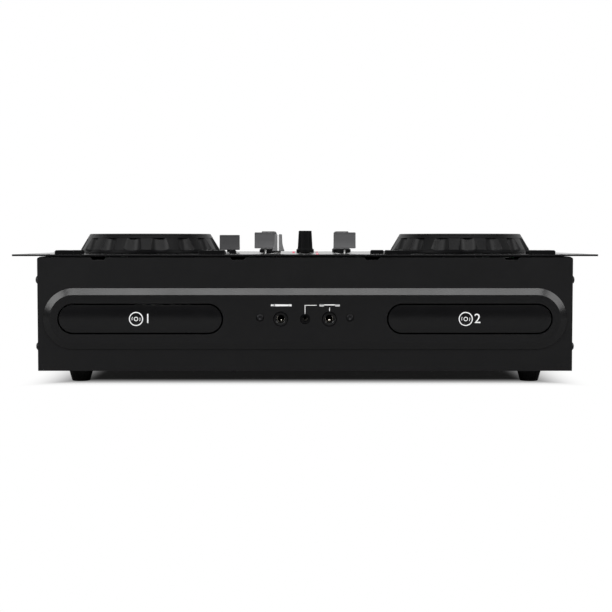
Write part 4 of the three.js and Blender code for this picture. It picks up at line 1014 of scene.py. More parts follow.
# Sizes of a wheel's section, heights from the plate
WHEEL_LIFT = 1.5 * MM
WHEEL_SKIRT = 0.4 * MM
WHEEL_SHOULDER = 3.5 * MM
WHEEL_WALL = 2.6 * MM
WHEEL_RING = 4.0 * MM
WHEEL_ROUND = 1.2 * MM
WHEEL_LINE = 0.35 * MM
WHEEL_BAND = 47 * MM
WHEEL_BAND_LINES = 5
WHEEL_WELL = 40.3 * MM
WHEEL_WELL_DEPTH = 1.6 * MM
WHEEL_HUB = 12 * MM
WHEEL_SHAFT = 4 * MM
WHEEL_SHAFT_DEPTH = 10 * MM
WHEEL_STEPS_PER_GRIP = 12
# The rounding at the wheel's top, as shares of its size inwards and down
WHEEL_ROUND_SHARES = ((0, 1), (0.3, 0.35), (1, 0.05), (1.6, 0))
# Cutter of a grip: rows of its rounded foot, and how much of its radius and of its foot it starts behind
GRIP_ROWS = 10
GRIP_START_SHARE = 1 / 3
# Touch plate: its section in mm from its top, its drop below the wheel's top, and its finger hollow
PLATTER_SECTION = ((0, -0.75), (39.2, -0.75), (39.2, -0.3), (38.8, 0), (0, 0))
PLATTER_DROP = 0.8 * MM
DISH_RADIUS = 9 * MM
DISH_DEPTH = 0.6 * MM
DISH_AHEAD = 28 * MM
PLATTER_COLOUR = "#121213"
PLATTER_ROUGHNESS = 0.38
PLATTER_PITCH = 1.1 * MM
PLATTER_RELIEF = 0.03 * MM


class PLAYER_OT_jog_wheels(PlayerOperator, bpy.types.Operator):
    """Model the scalloped jog wheels and dress their bearings."""

    bl_idname = "cd_player.jog_wheels"
    bl_label = "Jog wheels"

    def execute(self, context):
        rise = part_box("jog_wheel_left")[1].z - PLATE_TOP
        pattern = self.shell(rise, context.scene.player_control)
        for side in SIDES:
            x, y, _ = JOINTS[f"jog_{side}_spin"]["pos_m"]
            place = Matrix.Translation((x, y, PLATE_TOP)) @ Matrix.Rotation(PARKED_ANGLES[side], 4, "Z")
            wheel = copy_piece(pattern, f"wheel_{side}", place)
            finish_piece(wheel, "wheel", f"jog_{side}", "jog_plastic", f"jog_wheel_{side}", angle=24)
            self.platter(side, x, y, rise)
            dress_node(f"jog_base_{side}", "nylon", "housing", "black_plastic")
        bpy.data.objects.remove(pattern)
        return {"FINISHED"}

    def shell(self, rise, control):
        """One wheel at the origin, turned on a lathe, with its hollows cut from the side."""
        rim = control.wheel_rim
        top = control.wheel_top
        crest = rise - WHEEL_RING
        slope = math.atan2(rim - top, rise - WHEEL_ROUND - WHEEL_SHOULDER)
        inset = WHEEL_WALL + control.grip_depth
        lines = []
        for height in (crest, crest + WHEEL_RING / 2):
            radius = rim - (height - WHEEL_SHOULDER) * math.tan(slope)
            lines += [(radius, height), (radius - WHEEL_LINE, height),
                      (radius - WHEEL_LINE, height + WHEEL_LINE), (radius, height + WHEEL_LINE)]
        wheel = turned("wheel_pattern", [
            (0, -WHEEL_SHAFT_DEPTH), (WHEEL_SHAFT, -WHEEL_SHAFT_DEPTH), (WHEEL_HUB, WHEEL_LIFT),
            (WHEEL_HUB, rise - inset), (top - inset, rise - inset), (rim - inset, WHEEL_SHOULDER),
            (rim - inset, WHEEL_SKIRT), (rim - WHEEL_LINE, WHEEL_SKIRT), (rim, WHEEL_SKIRT + WHEEL_LINE),
            (rim, WHEEL_SHOULDER), *lines,
            *((top - across * WHEEL_ROUND, rise - down * WHEEL_ROUND) for across, down in WHEEL_ROUND_SHARES),
            (WHEEL_BAND, rise), (WHEEL_BAND - WHEEL_LINE, rise - WHEEL_LINE),
            (WHEEL_BAND - (WHEEL_BAND_LINES - 1) * WHEEL_LINE, rise - WHEEL_LINE),
            (WHEEL_BAND - WHEEL_BAND_LINES * WHEEL_LINE, rise),
            (WHEEL_WELL, rise), (WHEEL_WELL - WHEEL_LINE, rise - WHEEL_LINE),
            (WHEEL_WELL - WHEEL_LINE, rise - WHEEL_WELL_DEPTH), (0, rise - WHEEL_WELL_DEPTH),
        ], WHEEL_STEPS_PER_GRIP * control.grip_count)
        cutter = self.grip(rise, control)
        reach = (rim - (control.grip_lift - WHEEL_SHOULDER) * math.tan(slope) + control.grip_radius
                 - control.grip_depth)
        start = control.grip_lift - GRIP_START_SHARE * control.grip_foot
        cutter.data.transform(Matrix.Translation((reach, 0, start))
                              @ Matrix.Rotation(control.grip_lean - slope, 4, "Y"))
        edit(cutter)
        cut_off((0, 0, crest), (0, 0, 1))
        weld()
        close()
        turns = [FULL_TURN * i / control.grip_count for i in range(control.grip_count)]
        cutters = [copy_piece(cutter, "grip_cutter", Matrix.Rotation(turn, 4, "Z")) for turn in turns]
        bpy.data.objects.remove(cutter)
        carve(wheel, join_pieces("grip_cutters", cutters))
        return break_edges(wheel, control.grip_edge, angle=22, segments=2)

    @staticmethod
    def grip(rise, control):
        """The cutter of one hollow: a round-footed bar with its back cut off."""
        radius = control.grip_radius
        turns = [QUARTER_TURN * i / GRIP_ROWS for i in range(GRIP_ROWS + 1)]
        bowl = [(radius * math.sin(a), control.grip_foot * (1 - math.cos(a))) for a in turns]
        cutter = turned("grip_cutter", [*bowl, (radius, 2 * rise), (0, 2 * rise)], 96)
        edit(cutter)
        cut_off((-GRIP_START_SHARE * radius, 0, 0), (1, 0, 0))
        close()
        return cutter

    @staticmethod
    def platter(side, x, y, rise):
        """The touch plate: fine rings and a finger hollow."""
        top = PLATE_TOP + rise - PLATTER_DROP
        plate = turned(f"platter_{side}", in_mm(PLATTER_SECTION), 128, (x, y, top))
        radius = (DISH_RADIUS ** 2 + DISH_DEPTH ** 2) / (2 * DISH_DEPTH)
        deselect()
        bpy.ops.mesh.primitive_uv_sphere_add(segments=128, ring_count=256, radius=radius,
                                             location=(x, y - DISH_AHEAD, top + radius - DISH_DEPTH))
        carve(plate, settle(bpy.context.object))
        finish_piece(plate, "wheel", f"jog_{side}", "jog_plastic", angle=8)
        plate.data.materials[0] = ringed(f"ringed_abs_platter_{side}", linear(PLATTER_COLOUR),
                                         PLATTER_ROUGHNESS, PLATTER_PITCH, PLATTER_RELIEF, (x, y))


# Sizes of a knob's section, heights from the plate
KNOB_LIFT = 0.35 * MM
KNOB_SHAFT = 3 * MM
KNOB_SKIRT_EDGE = 2.9 * MM
KNOB_COLLAR = 4.2 * MM
KNOB_BREAK = 0.25 * MM
KNOB_ROUND = 0.4 * MM
KNOB_ROUND_SHARE = 0.3
KNOB_GROOVE = 0.45 * MM
KNOB_POINTER = 1.0 * MM
KNOB_STEPS_PER_GROOVE = 4
# How far a knob's top lies under its solid's top, so that the pointer's ink stays within it
KNOB_TOP_DROP = 1.5 * INK_RISE


class PLAYER_OT_knobs(PlayerOperator, bpy.types.Operator):
    """Model the grooved knobs with their pointers."""

    bl_idname = "cd_player.knobs"
    bl_label = "Knobs"

    def execute(self, context):
        control = context.scene.player_control
        patterns = {}
        for name, joint in JOINTS.items():
            if not name.endswith("_turn"):
                continue
            node = joint_node(joint)
            look = "black_knob" if "phones" in node or "master" in node else "tone_knob"
            if look not in patterns:
                patterns[look] = self.model(control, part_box(node)[1].z - PLATE_TOP, look)
            grip, pointer = patterns[look]
            x, y, _ = joint["pos_m"]
            place = Matrix.Translation((x, y, PLATE_TOP))
            grip = copy_piece(grip, f"{node}_grip", place)
            finish_piece(grip, None, joint["child"], "knob_plastic", node, angle=35)
            finish_piece(copy_piece(pointer, f"{node}_pointer", place), "ink", joint["child"], "cap_grey")
        for pattern in patterns.values():
            for piece in pattern:
                bpy.data.objects.remove(piece)
        return {"FINISHED"}

    def model(self, control, height, look):
        """One knob and its pointer, at the origin."""
        rise = height - KNOB_TOP_DROP
        skirt = control.knob_skirt
        waist = control.knob_waist
        top = control.knob_top
        shoulder = KNOB_LIFT + KNOB_SKIRT_EDGE
        knob = turned("knob_pattern", [
            (0, -KNOB_SHAFT), (KNOB_SHAFT, -KNOB_SHAFT), (KNOB_SHAFT, KNOB_LIFT),
            (skirt - KNOB_BREAK, KNOB_LIFT), (skirt, KNOB_LIFT + KNOB_BREAK),
            (skirt, shoulder - KNOB_BREAK), (skirt - KNOB_BREAK, shoulder),
            (waist + KNOB_BREAK, shoulder + 2 * KNOB_BREAK), (waist, KNOB_COLLAR), (top, rise - KNOB_ROUND),
            (top - KNOB_ROUND_SHARE * KNOB_ROUND, rise - KNOB_ROUND_SHARE * KNOB_ROUND),
            (top - KNOB_ROUND, rise), (0, rise)], KNOB_STEPS_PER_GROOVE * control.knob_grooves)
        taper = math.atan2(waist - top, rise - KNOB_ROUND - KNOB_COLLAR)
        groove = self.groove(rise)
        cutters = []
        for i in range(control.knob_grooves):
            place = (Matrix.Rotation(FULL_TURN * (i + 0.5) / control.knob_grooves, 4, "Z")
                     @ Matrix.Translation((waist + KNOB_GROOVE - control.groove_depth, 0, KNOB_COLLAR))
                     @ Matrix.Rotation(-taper, 4, "Y"))
            cutters.append(copy_piece(groove, "groove_cutter", place))
        bpy.data.objects.remove(groove)
        carve(knob, join_pieces("groove_cutters", cutters))
        knob.data.materials.append(LOOKS["black_knob"])
        knob.data.materials.append(LOOKS[look])
        edit(knob)
        pick(knob, lambda face: face.calc_center_median().z > KNOB_COLLAR - KNOB_BREAK)
        bpy.context.object.active_material_index = 1
        bpy.ops.object.material_slot_assign()
        close()
        reach = top - KNOB_ROUND
        pointer = slab("pointer_pattern", (KNOB_POINTER, reach, KNOB_BREAK),
                       (0, reach / 2, rise - KNOB_BREAK / 2 + INK_RISE), KNOB_BREAK, segments=3)
        return knob, pointer

    @staticmethod
    def groove(rise):
        """The cutter of one groove, cut off below the knob's top."""
        cutter = turned("groove_cutter", [(0, 0), (KNOB_GROOVE, KNOB_GROOVE), (KNOB_GROOVE, rise),
                                          (0, rise + KNOB_GROOVE)], 12)
        edit(cutter)
        cut_off((0, 0, rise - 2 * KNOB_ROUND - KNOB_COLLAR), (0, 0, 1))
        close()
        return cutter


# Sizes of the slide controls
CAP_WIDTH = 19 * MM
CAP_WAIST_SHARE = 0.6
CAP_ROWS = 16
CAP_RIB = 0.12 * MM
CAP_LIFT = 2.4 * MM
CHANNEL_CAP_LIFT = 4.6 * MM
LEVER_THICKNESS = 1.2 * MM
LEVER_WIDTH = 4 * MM
LEVER_INTO_CAP = 2 * MM
BOOT_WIDTH = 5.2 * MM
BOOT_DEPTH = 3.4 * MM


class PLAYER_OT_slide_caps(PlayerOperator, bpy.types.Operator):
    """Model the waisted caps of the slide controls and their levers."""

    bl_idname = "cd_player.slide_caps"
    bl_label = "Slide caps"

    def execute(self, context):
        control = context.scene.player_control
        for joint in JOINTS.values():
            node = joint_node(joint)
            if "fader" not in node:
                continue
            low, high, centre = measure(node)
            cross = node == "crossfader"
            pitch = "pitch" in node
            lift = CHANNEL_CAP_LIFT if "channel" in node else CAP_LIFT
            height = high.z - PLATE_TOP - lift
            turn = Matrix.Rotation(QUARTER_TURN if cross else 0, 4, "Z")
            place = Matrix.Translation((centre.x, centre.y, PLATE_TOP)) @ turn
            cap = self.cap(f"{node}_cap", lift, height, control)
            line = slab(f"{node}_line", (CAP_WIDTH + 2 * INK_RISE, control.cap_line, height),
                        (0, 0, lift + height / 2 + INK_RISE), control.cap_edge, along=1, segments=3)
            drop = PLATE_TOP - low.z
            lever_top = lift + LEVER_INTO_CAP
            lever = slab(f"{node}_lever", (LEVER_THICKNESS, LEVER_WIDTH, drop + lever_top),
                         (0, 0, (lever_top - drop) / 2), control.cap_edge / 2, segments=3)
            pieces = [
                (cap, "pale_cap" if cross else "dark_cap" if pitch else "cap", "cap_grey", 35, (node,)),
                (line, "ink", "cap_grey", 32, ()),
                (lever, "black_screw" if pitch else "bright_steel", "nickel", 32, ()),
            ]
            if pitch:
                boot = slab(f"{node}_boot", (BOOT_WIDTH, BOOT_DEPTH, lift),
                            (0, 0, lift / 2 + control.cap_edge / 2), control.cap_edge, segments=4)
                pieces.append((boot, "black_knob", "black_plastic", 32, ()))
            for piece, look, slot, angle, nodes in pieces:
                piece.data.transform(place)
                finish_piece(piece, look, joint["child"], slot, *nodes, angle=angle)
        return {"FINISHED"}

    @staticmethod
    def section(height, control):
        """Half of a cap's section, from its foot to its top, as (depth, height) pairs."""
        foot = control.cap_foot / 2
        waist = control.cap_waist / 2
        top = control.cap_top / 2
        half = []
        for row in range(CAP_ROWS + 1):
            share = row / CAP_ROWS
            if share < CAP_WAIST_SHARE:
                depth = foot + (waist - foot) * math.sin(share / CAP_WAIST_SHARE * QUARTER_TURN)
            else:
                depth = waist + (top - waist) * (share - CAP_WAIST_SHARE) / (1 - CAP_WAIST_SHARE)
            rib = CAP_RIB if row % 2 and 1 < row < CAP_ROWS - 1 else 0
            half.append((depth - rib, height * share))
        return half

    def cap(self, name, lift, height, control):
        """One cap at the origin: a waisted, finely ribbed section drawn out across."""
        half = self.section(height, control)
        outline = [*half, *((-depth, rise) for depth, rise in reversed(half))]
        corners = [(-CAP_WIDTH / 2, depth, lift + rise) for depth, rise in outline]
        cap = drawn(name, corners, (CAP_WIDTH, 0, 0))
        edit(cap)
        pick(cap, lambda edge: is_cap_corner(edge, lift + height), "EDGE")
        bpy.ops.mesh.bevel(offset=control.cap_edge, segments=3, affect="EDGES")
        weld()
        close()
        return cap


def is_cap_corner(edge, top):
    """Whether an edge runs round a cap's end or along its top."""
    ends = [corner.co for corner in edge.verts]
    on_end = all(abs(abs(p.x) - CAP_WIDTH / 2) < WELD for p in ends)
    on_top = all(abs(p.z - top) < WELD for p in ends)
    return on_end or on_top


BUTTON_EDGE = 0.55 * MM
SIGN_SIZE = 3.2 * MM
SIGN_LINE = 0.6 * MM
# Each kind of key's sign: filled outlines, rings as (radius, width) and bars as (start, end, width). Places,
# radii and rings' widths are shares of the sign's size, and a bar's width is a share of its line
SIGN_SHARES = {
    "play": {"outlines": [((-1.6, -1), (0.1, 0), (-1.6, 1))],
             "bars": [((0.6, -0.8), (0.6, 0.8), 1.2), ((1.2, -0.8), (1.2, 0.8), 1.2)]},
    "cue": {"rings": [(1, SIGN_LINE / SIGN_SIZE), (0.4, 0.8)]},
    "eject": {"outlines": [((-0.6, -0.1), (0.6, -0.1), (0, 0.6))],
              "bars": [((-0.5, -0.45), (0.5, -0.45), 1)]},
    "skip": {"outlines": [((-0.7, -0.5), (0, 0), (-0.7, 0.5)), ((0, -0.5), (0.7, 0), (0, 0.5))]},
    "mode": {"bars": [((-0.6, 0.2), (0.6, 0.2), 0.7), ((-0.6, -0.2), (0.6, -0.2), 0.7)]},
}


class PLAYER_OT_buttons(PlayerOperator, bpy.types.Operator):
    """Dress the silicone buttons and print their signs."""

    bl_idname = "cd_player.buttons"
    bl_label = "Buttons"

    def execute(self, context):
        for joint in JOINTS.values():
            node = joint_node(joint)
            if "button" not in node:
                continue
            dress_node(node, "key", joint["child"], "key_rubber", BUTTON_EDGE, 3)
            _, high, centre = measure(node)
            shapes = self.sign(SIGN_SHARES.get(node.split("_")[0], {}))
            if shapes:
                lay_ink(f"{node}_sign", shapes, (centre.x, centre.y, high.z), FACING_UP, joint["child"])
        return {"FINISHED"}

    @staticmethod
    def sign(shares):
        """One of the common signs of a disc player's keys."""
        def spot(point):
            return point[0] * SIGN_SIZE, point[1] * SIGN_SIZE

        return [
            *[ink_polygon([spot(point) for point in outline]) for outline in shares.get("outlines", [])],
            *[ink_arc((0, 0), radius * SIGN_SIZE, width * SIGN_SIZE)
              for radius, width in shares.get("rings", [])],
            *[ink_bar(spot(start), spot(end), width * SIGN_LINE)
              for start, end, width in shares.get("bars", [])],
        ]


# Rubber foot: its sole, the well for its screw and the break at the well's mouth
FOOT_SOLE = 7.65 * MM
FOOT_WELL = 3.6 * MM
FOOT_WELL_DEPTH = 4 * MM
FOOT_WELL_BREAK = 0.3 * MM
# Rounding at the sole and at the top, in mm out from the sole's and the top's radius and up from each
FOOT_SOLE_ROUND = ((-0.8, 0), (-0.2, 0.25), (0.1, 0.9))
FOOT_TOP_ROUND = ((-0.2, -0.6), (0, -0.2), (-0.2, 0))
FOOT_SCREW_RADIUS = 2.8 * MM
FOOT_SCREW_RISE = 1.2 * MM
FOOT_SCREW_SINK = 0.1 * MM


class PLAYER_OT_feet(PlayerOperator, bpy.types.Operator):
    """Model the tapered rubber feet and their screws."""

    bl_idname = "cd_player.feet"
    bl_label = "Feet"

    def execute(self, context):
        for end in ("front", "rear"):
            for side in SIDES:
                node = f"foot_{end}_{side}"
                low, high, centre = measure(node)
                wide = (high.y - low.y) / 2
                foot = turned(f"{node}_rubber", [
                    (0, FOOT_WELL_DEPTH), (FOOT_WELL, FOOT_WELL_DEPTH), (FOOT_WELL, FOOT_WELL_BREAK),
                    (FOOT_WELL + FOOT_WELL_BREAK, 0),
                    *((FOOT_SOLE + out, up) for out, up in in_mm(FOOT_SOLE_ROUND)),
                    *((wide + out, high.z + up) for out, up in in_mm(FOOT_TOP_ROUND)),
                    (0, high.z)], 64, (centre.x, centre.y, 0))
                finish_piece(foot, "foot", "housing", "foot_rubber", node)
                add_screw(f"{node}_screw", (centre.x, centre.y, FOOT_WELL_DEPTH - FOOT_SCREW_SINK),
                          (0, 0, -1), FOOT_SCREW_RADIUS, FOOT_SCREW_RISE)
        return {"FINISHED"}


# Screw's head: how deep its root sits, the height of its straight side, the rows of its dome, and its recess
SCREW_ROOT = 0.4 * MM
SCREW_SIDE_SHARE = 0.25
SCREW_ROWS = 6
SLOT_WIDTH_SHARE = 0.36
SLOT_LENGTH_SHARE = 1.3
SLOT_TOP_SHARE = 1.1
SLOT_FLOOR_SHARE = 0.3
SLOT_FLOOR_LENGTH_SHARE = 0.1


def add_screw(name, place, direction, radius, rise):
    """A pan-head screw with a cross recess, its head out along a direction."""
    dome = [(0, -SCREW_ROOT), (radius, -SCREW_ROOT), (radius, SCREW_SIDE_SHARE * rise)]
    for row in range(1, SCREW_ROWS):
        turn = QUARTER_TURN * row / SCREW_ROWS
        up = SCREW_SIDE_SHARE + (1 - SCREW_SIDE_SHARE) * math.sin(turn)
        dome.append((radius * math.cos(turn), rise * up))
    screw = turned(name, [*dome, (0, rise)], 40)
    # The recess is a cross of two wedges, so its ends slope and catch the light
    wide = SLOT_WIDTH_SHARE * radius
    long = SLOT_LENGTH_SHARE * radius
    mouth = SLOT_TOP_SHARE * rise
    floor = SLOT_FLOOR_SHARE * rise
    end = SLOT_FLOOR_LENGTH_SHARE * long
    corners = [(-long / 2, mouth), (long / 2, mouth), (end, floor), (-end, floor)]
    wedge = drawn("slot", [(across, -wide / 2, up) for across, up in corners], (0, wide, 0))
    carve(screw, copy_piece(wedge, "slot", Matrix.Rotation(QUARTER_TURN, 4, "Z")), wedge)
    turn = Vector(direction).to_track_quat("Z", "Y").to_matrix().to_4x4()
    screw.data.transform(Matrix.Translation(place) @ turn)
    return finish_piece(screw, "black_screw", "housing", "zinc_steel", angle=35)


# Places of the screws, from the edge or the face that carries each
SIDE_SCREW_INSETS = (8 * MM, 12 * MM)
SIDE_SCREW_DROPS = (21.1 * MM, 76.3 * MM)
PLATE_SCREW_X = 212 * MM
PLATE_SCREW_SINK = 1.0 * MM
PLATE_SCREW_INSET = 6 * MM
PLATE_SCREW_REAR_Y = 100 * MM
UNDER_SCREW_X = 59.5 * MM
UNDER_SCREW_INSET = 6 * MM
REAR_SCREW_X = 205 * MM
REAR_SCREW_Z = 90 * MM


class PLAYER_OT_screws(PlayerOperator, bpy.types.Operator):
    """Fit the screws of the housing, the bezel and the plate."""

    bl_idname = "cd_player.screws"
    bl_label = "Screws"

    def execute(self, context):
        housing = context.scene.player_housing
        well = context.scene.player_front.screw_well
        big = (housing.side_screw_radius, housing.side_screw_rise)
        small = (housing.small_screw_radius, housing.small_screw_rise)
        depths = (PANEL_FACE + SIDE_SCREW_INSETS[0], HOUSING_REAR - SIDE_SCREW_INSETS[1])
        for way, side in zip(BOTH_WAYS, SIDES):
            for row, drop in enumerate(SIDE_SCREW_DROPS):
                for end, y in enumerate(depths):
                    add_screw(f"side_screw_{side}_{row}_{end}", (way * HOUSING_RIGHT, y, PLATE_TOP - drop),
                              (way, 0, 0), *big)
            add_screw(f"bezel_screw_{side}", (way * BEZEL_SCREW_X, BEZEL_FACE + well, BEZEL_SCREW_Z),
                      (0, -1, 0), BEZEL_SCREW_RADIUS, well)
            for end, y in enumerate((PLATE_FRONT + PLATE_SCREW_INSET, PLATE_SCREW_REAR_Y)):
                add_screw(f"plate_screw_{side}_{end}", (way * PLATE_SCREW_X, y, PLATE_TOP - PLATE_SCREW_SINK),
                          (0, 0, 1), *small)
            add_screw(f"under_screw_{side}",
                      (way * UNDER_SCREW_X, PANEL_FACE + UNDER_SCREW_INSET, HOUSING_BOTTOM),
                      (0, 0, -1), *small)
            add_screw(f"rear_screw_{side}", (way * REAR_SCREW_X, HOUSING_REAR, REAR_SCREW_Z),
                      (0, 1, 0), *small)
        return {"FINISHED"}


WINDOW_EDGE = 0.25 * MM
GLASS_SIZE = (62 * MM, 15 * MM, 0.2 * MM)
GLASS_CORNER = 0.6 * MM
GLASS_EDGE = 0.05 * MM


class PLAYER_OT_displays(PlayerOperator, bpy.types.Operator):
    """Dress the display windows and the glass in them."""

    bl_idname = "cd_player.displays"
    bl_label = "Displays"

    def execute(self, context):
        for side in SIDES:
            node = f"display_window_{side}"
            dress_node(node, "screen", "housing", "display_glass", WINDOW_EDGE, 3)
            _, high, centre = measure(node)
            glass = slab(f"liquid_crystal_{side}", GLASS_SIZE, (centre.x, centre.y, high.z), GLASS_CORNER,
                         segments=4)
            break_edges(glass, GLASS_EDGE, angle=40, segments=1)
            finish_piece(glass, "liquid_crystal", "housing", "display_glass")
        return {"FINISHED"}


SCALE_LINE = 0.4 * MM
# Scale round a knob: its radii, its first angle, its step and its number of ticks
DIAL_INNER = 9.6 * MM
DIAL_SHORT = 10.8 * MM
DIAL_LONG = 11.4 * MM
DIAL_START = 240
DIAL_STEP = 30
DIAL_TICKS = 11
DIAL_LONG_EVERY = 5
# Scale beside a slide control: how far off it starts, and the length of its ticks
TICK_START = 4 * MM
TICK_SHORT = 2.4 * MM
TICK_LONG = 4 * MM
CROSS_SCALE_START = 5 * MM
CROSS_SCALE_LENGTH = 45 * MM
CROSS_SCALE_STEPS = 8
CROSS_LONG_EVERY = 4
DECK_NUMBER_HEIGHT = 6 * MM
DECK_NUMBER_BEHIND = 8 * MM


class PLAYER_OT_plate_marks(PlayerOperator, bpy.types.Operator):
    """Print the scales round the knobs and beside the slide controls."""

    bl_idname = "cd_player.plate_marks"
    bl_label = "Plate marks"

    def execute(self, context):
        shapes = []
        for name, joint in JOINTS.items():
            node = joint_node(joint)
            if name.endswith("_turn"):
                shapes += self.dial(*joint["pos_m"][:2])
            elif "fader" in node and node != "crossfader":
                centre = measure(node)[2]
                start, end = joint["range_m"]
                for step in range(DIAL_TICKS):
                    at = centre.y + start + (end - start) * step / (DIAL_TICKS - 1)
                    reach = TICK_SHORT if step % DIAL_LONG_EVERY else TICK_LONG
                    shapes += [ink_bar((centre.x + way * TICK_START, at),
                                       (centre.x + way * (TICK_START + reach), at), SCALE_LINE)
                               for way in BOTH_WAYS]
        centre = measure("crossfader")[2]
        below = centre.y - CROSS_SCALE_START
        for step in range(CROSS_SCALE_STEPS + 1):
            at = centre.x + CROSS_SCALE_LENGTH * step / CROSS_SCALE_STEPS
            reach = TICK_SHORT if step % CROSS_LONG_EVERY else TICK_LONG
            shapes.append(ink_bar((at, below), (at, below - reach), SCALE_LINE))
        for number, side in enumerate(SIDES, 1):
            _, high, centre = measure(f"display_window_{side}")
            shapes.append(ink_digit(str(number), (centre.x, high.y + DECK_NUMBER_BEHIND), DECK_NUMBER_HEIGHT))
        lay_ink("plate_marks", shapes, (0, 0, PLATE_TOP), FACING_UP, "housing")
        return {"FINISHED"}

    @staticmethod
    def dial(x, y):
        """The ticks round one knob."""
        ticks = []
        for step in range(DIAL_TICKS):
            turn = math.radians(DIAL_START - DIAL_STEP * step)
            outer = DIAL_SHORT if step % DIAL_LONG_EVERY else DIAL_LONG
            ends = [(x + reach * math.cos(turn), y + reach * math.sin(turn)) for reach in (DIAL_INNER, outer)]
            ticks.append(ink_bar(*ends, SCALE_LINE))
        return ticks


# Places of the lamps on the plate and how far each stands out, in mm
LAMP_PLACES = ((-10.6, -28, 1.6), (10.2, -141, 0.75), (11.3, 36, 0.75))
LAMP_RADIUS = 1.2 * MM
LAMP_ROOT = 1.0 * MM
# Rounding of a lamp, as shares of its radius and of its height
LAMP_ROUND_SHARES = ((1, 0.45), (0.88, 0.75), (0.5, 0.94), (0, 1))


class PLAYER_OT_lamps(PlayerOperator, bpy.types.Operator):
    """Fit the red lamps on the plate."""

    bl_idname = "cd_player.lamps"
    bl_label = "Lamps"

    def execute(self, context):
        for number, (x, y, rise) in enumerate(in_mm(LAMP_PLACES), 1):
            lamp = turned(f"lamp_{number}", [
                (0, -LAMP_ROOT), (LAMP_RADIUS, -LAMP_ROOT),
                *((across * LAMP_RADIUS, up * rise) for across, up in LAMP_ROUND_SHARES)],
                32, (x, y, PLATE_TOP))
            finish_piece(lamp, "lamp", "housing", "gloss_black", angle=40)
        return {"FINISHED"}


FRAME_EDGE = 0.25 * MM
GEAR_EDGE = 0.12 * MM
# Disc tray: its plate, its two disc seats as radius and depth, its hub opening and its pickup slot
TRAY_THICKNESS = 7.5 * MM
TRAY_LENGTH = 165 * MM
TRAY_CORNER = 6 * MM
TRAY_EDGE = 0.4 * MM
TRAY_SEATS = ((60.5 * MM, 4 * MM), (40.6 * MM, 5.2 * MM))
TRAY_OPENING = 18 * MM
TRAY_CUT = 20 * MM
PICKUP_SLOT = (30 * MM, 58 * MM, 30 * MM)
RACK_HEIGHT = 5 * MM
# Hub: its section in mm from its flange's foot, the cone's height, and its rubber ring
HUB_CONE = 4.2 * MM
HUB_SHAFT = 1.5 * MM
HUB_SECTION = ((1.5, 0), (13.7, 0), (14, 0.3), (14, 1.7), (13.7, 2), (7.5, 2), (7.3, 2.3), (6.8, 3),
               (4.3, 4.05), (4, 4.2), (1.6, 4.2), (1.4, 3.9), (0, 3.9))
HUB_RING_SECTION = ((9, 1.9), (12.6, 1.9), (12.5, 2.3), (9.1, 2.3), (9, 1.9))
HUB_COLOUR = "#aab0b4"
HUB_ROUGHNESS = 0.3
HUB_PITCH = 0.5 * MM
HUB_RELIEF = 0.01 * MM
LENS_SECTION = ((0, -0.4), (2.3, -0.4), (2.3, 0.05), (1.8, 0.3), (1, 0.45), (0, 0.5))


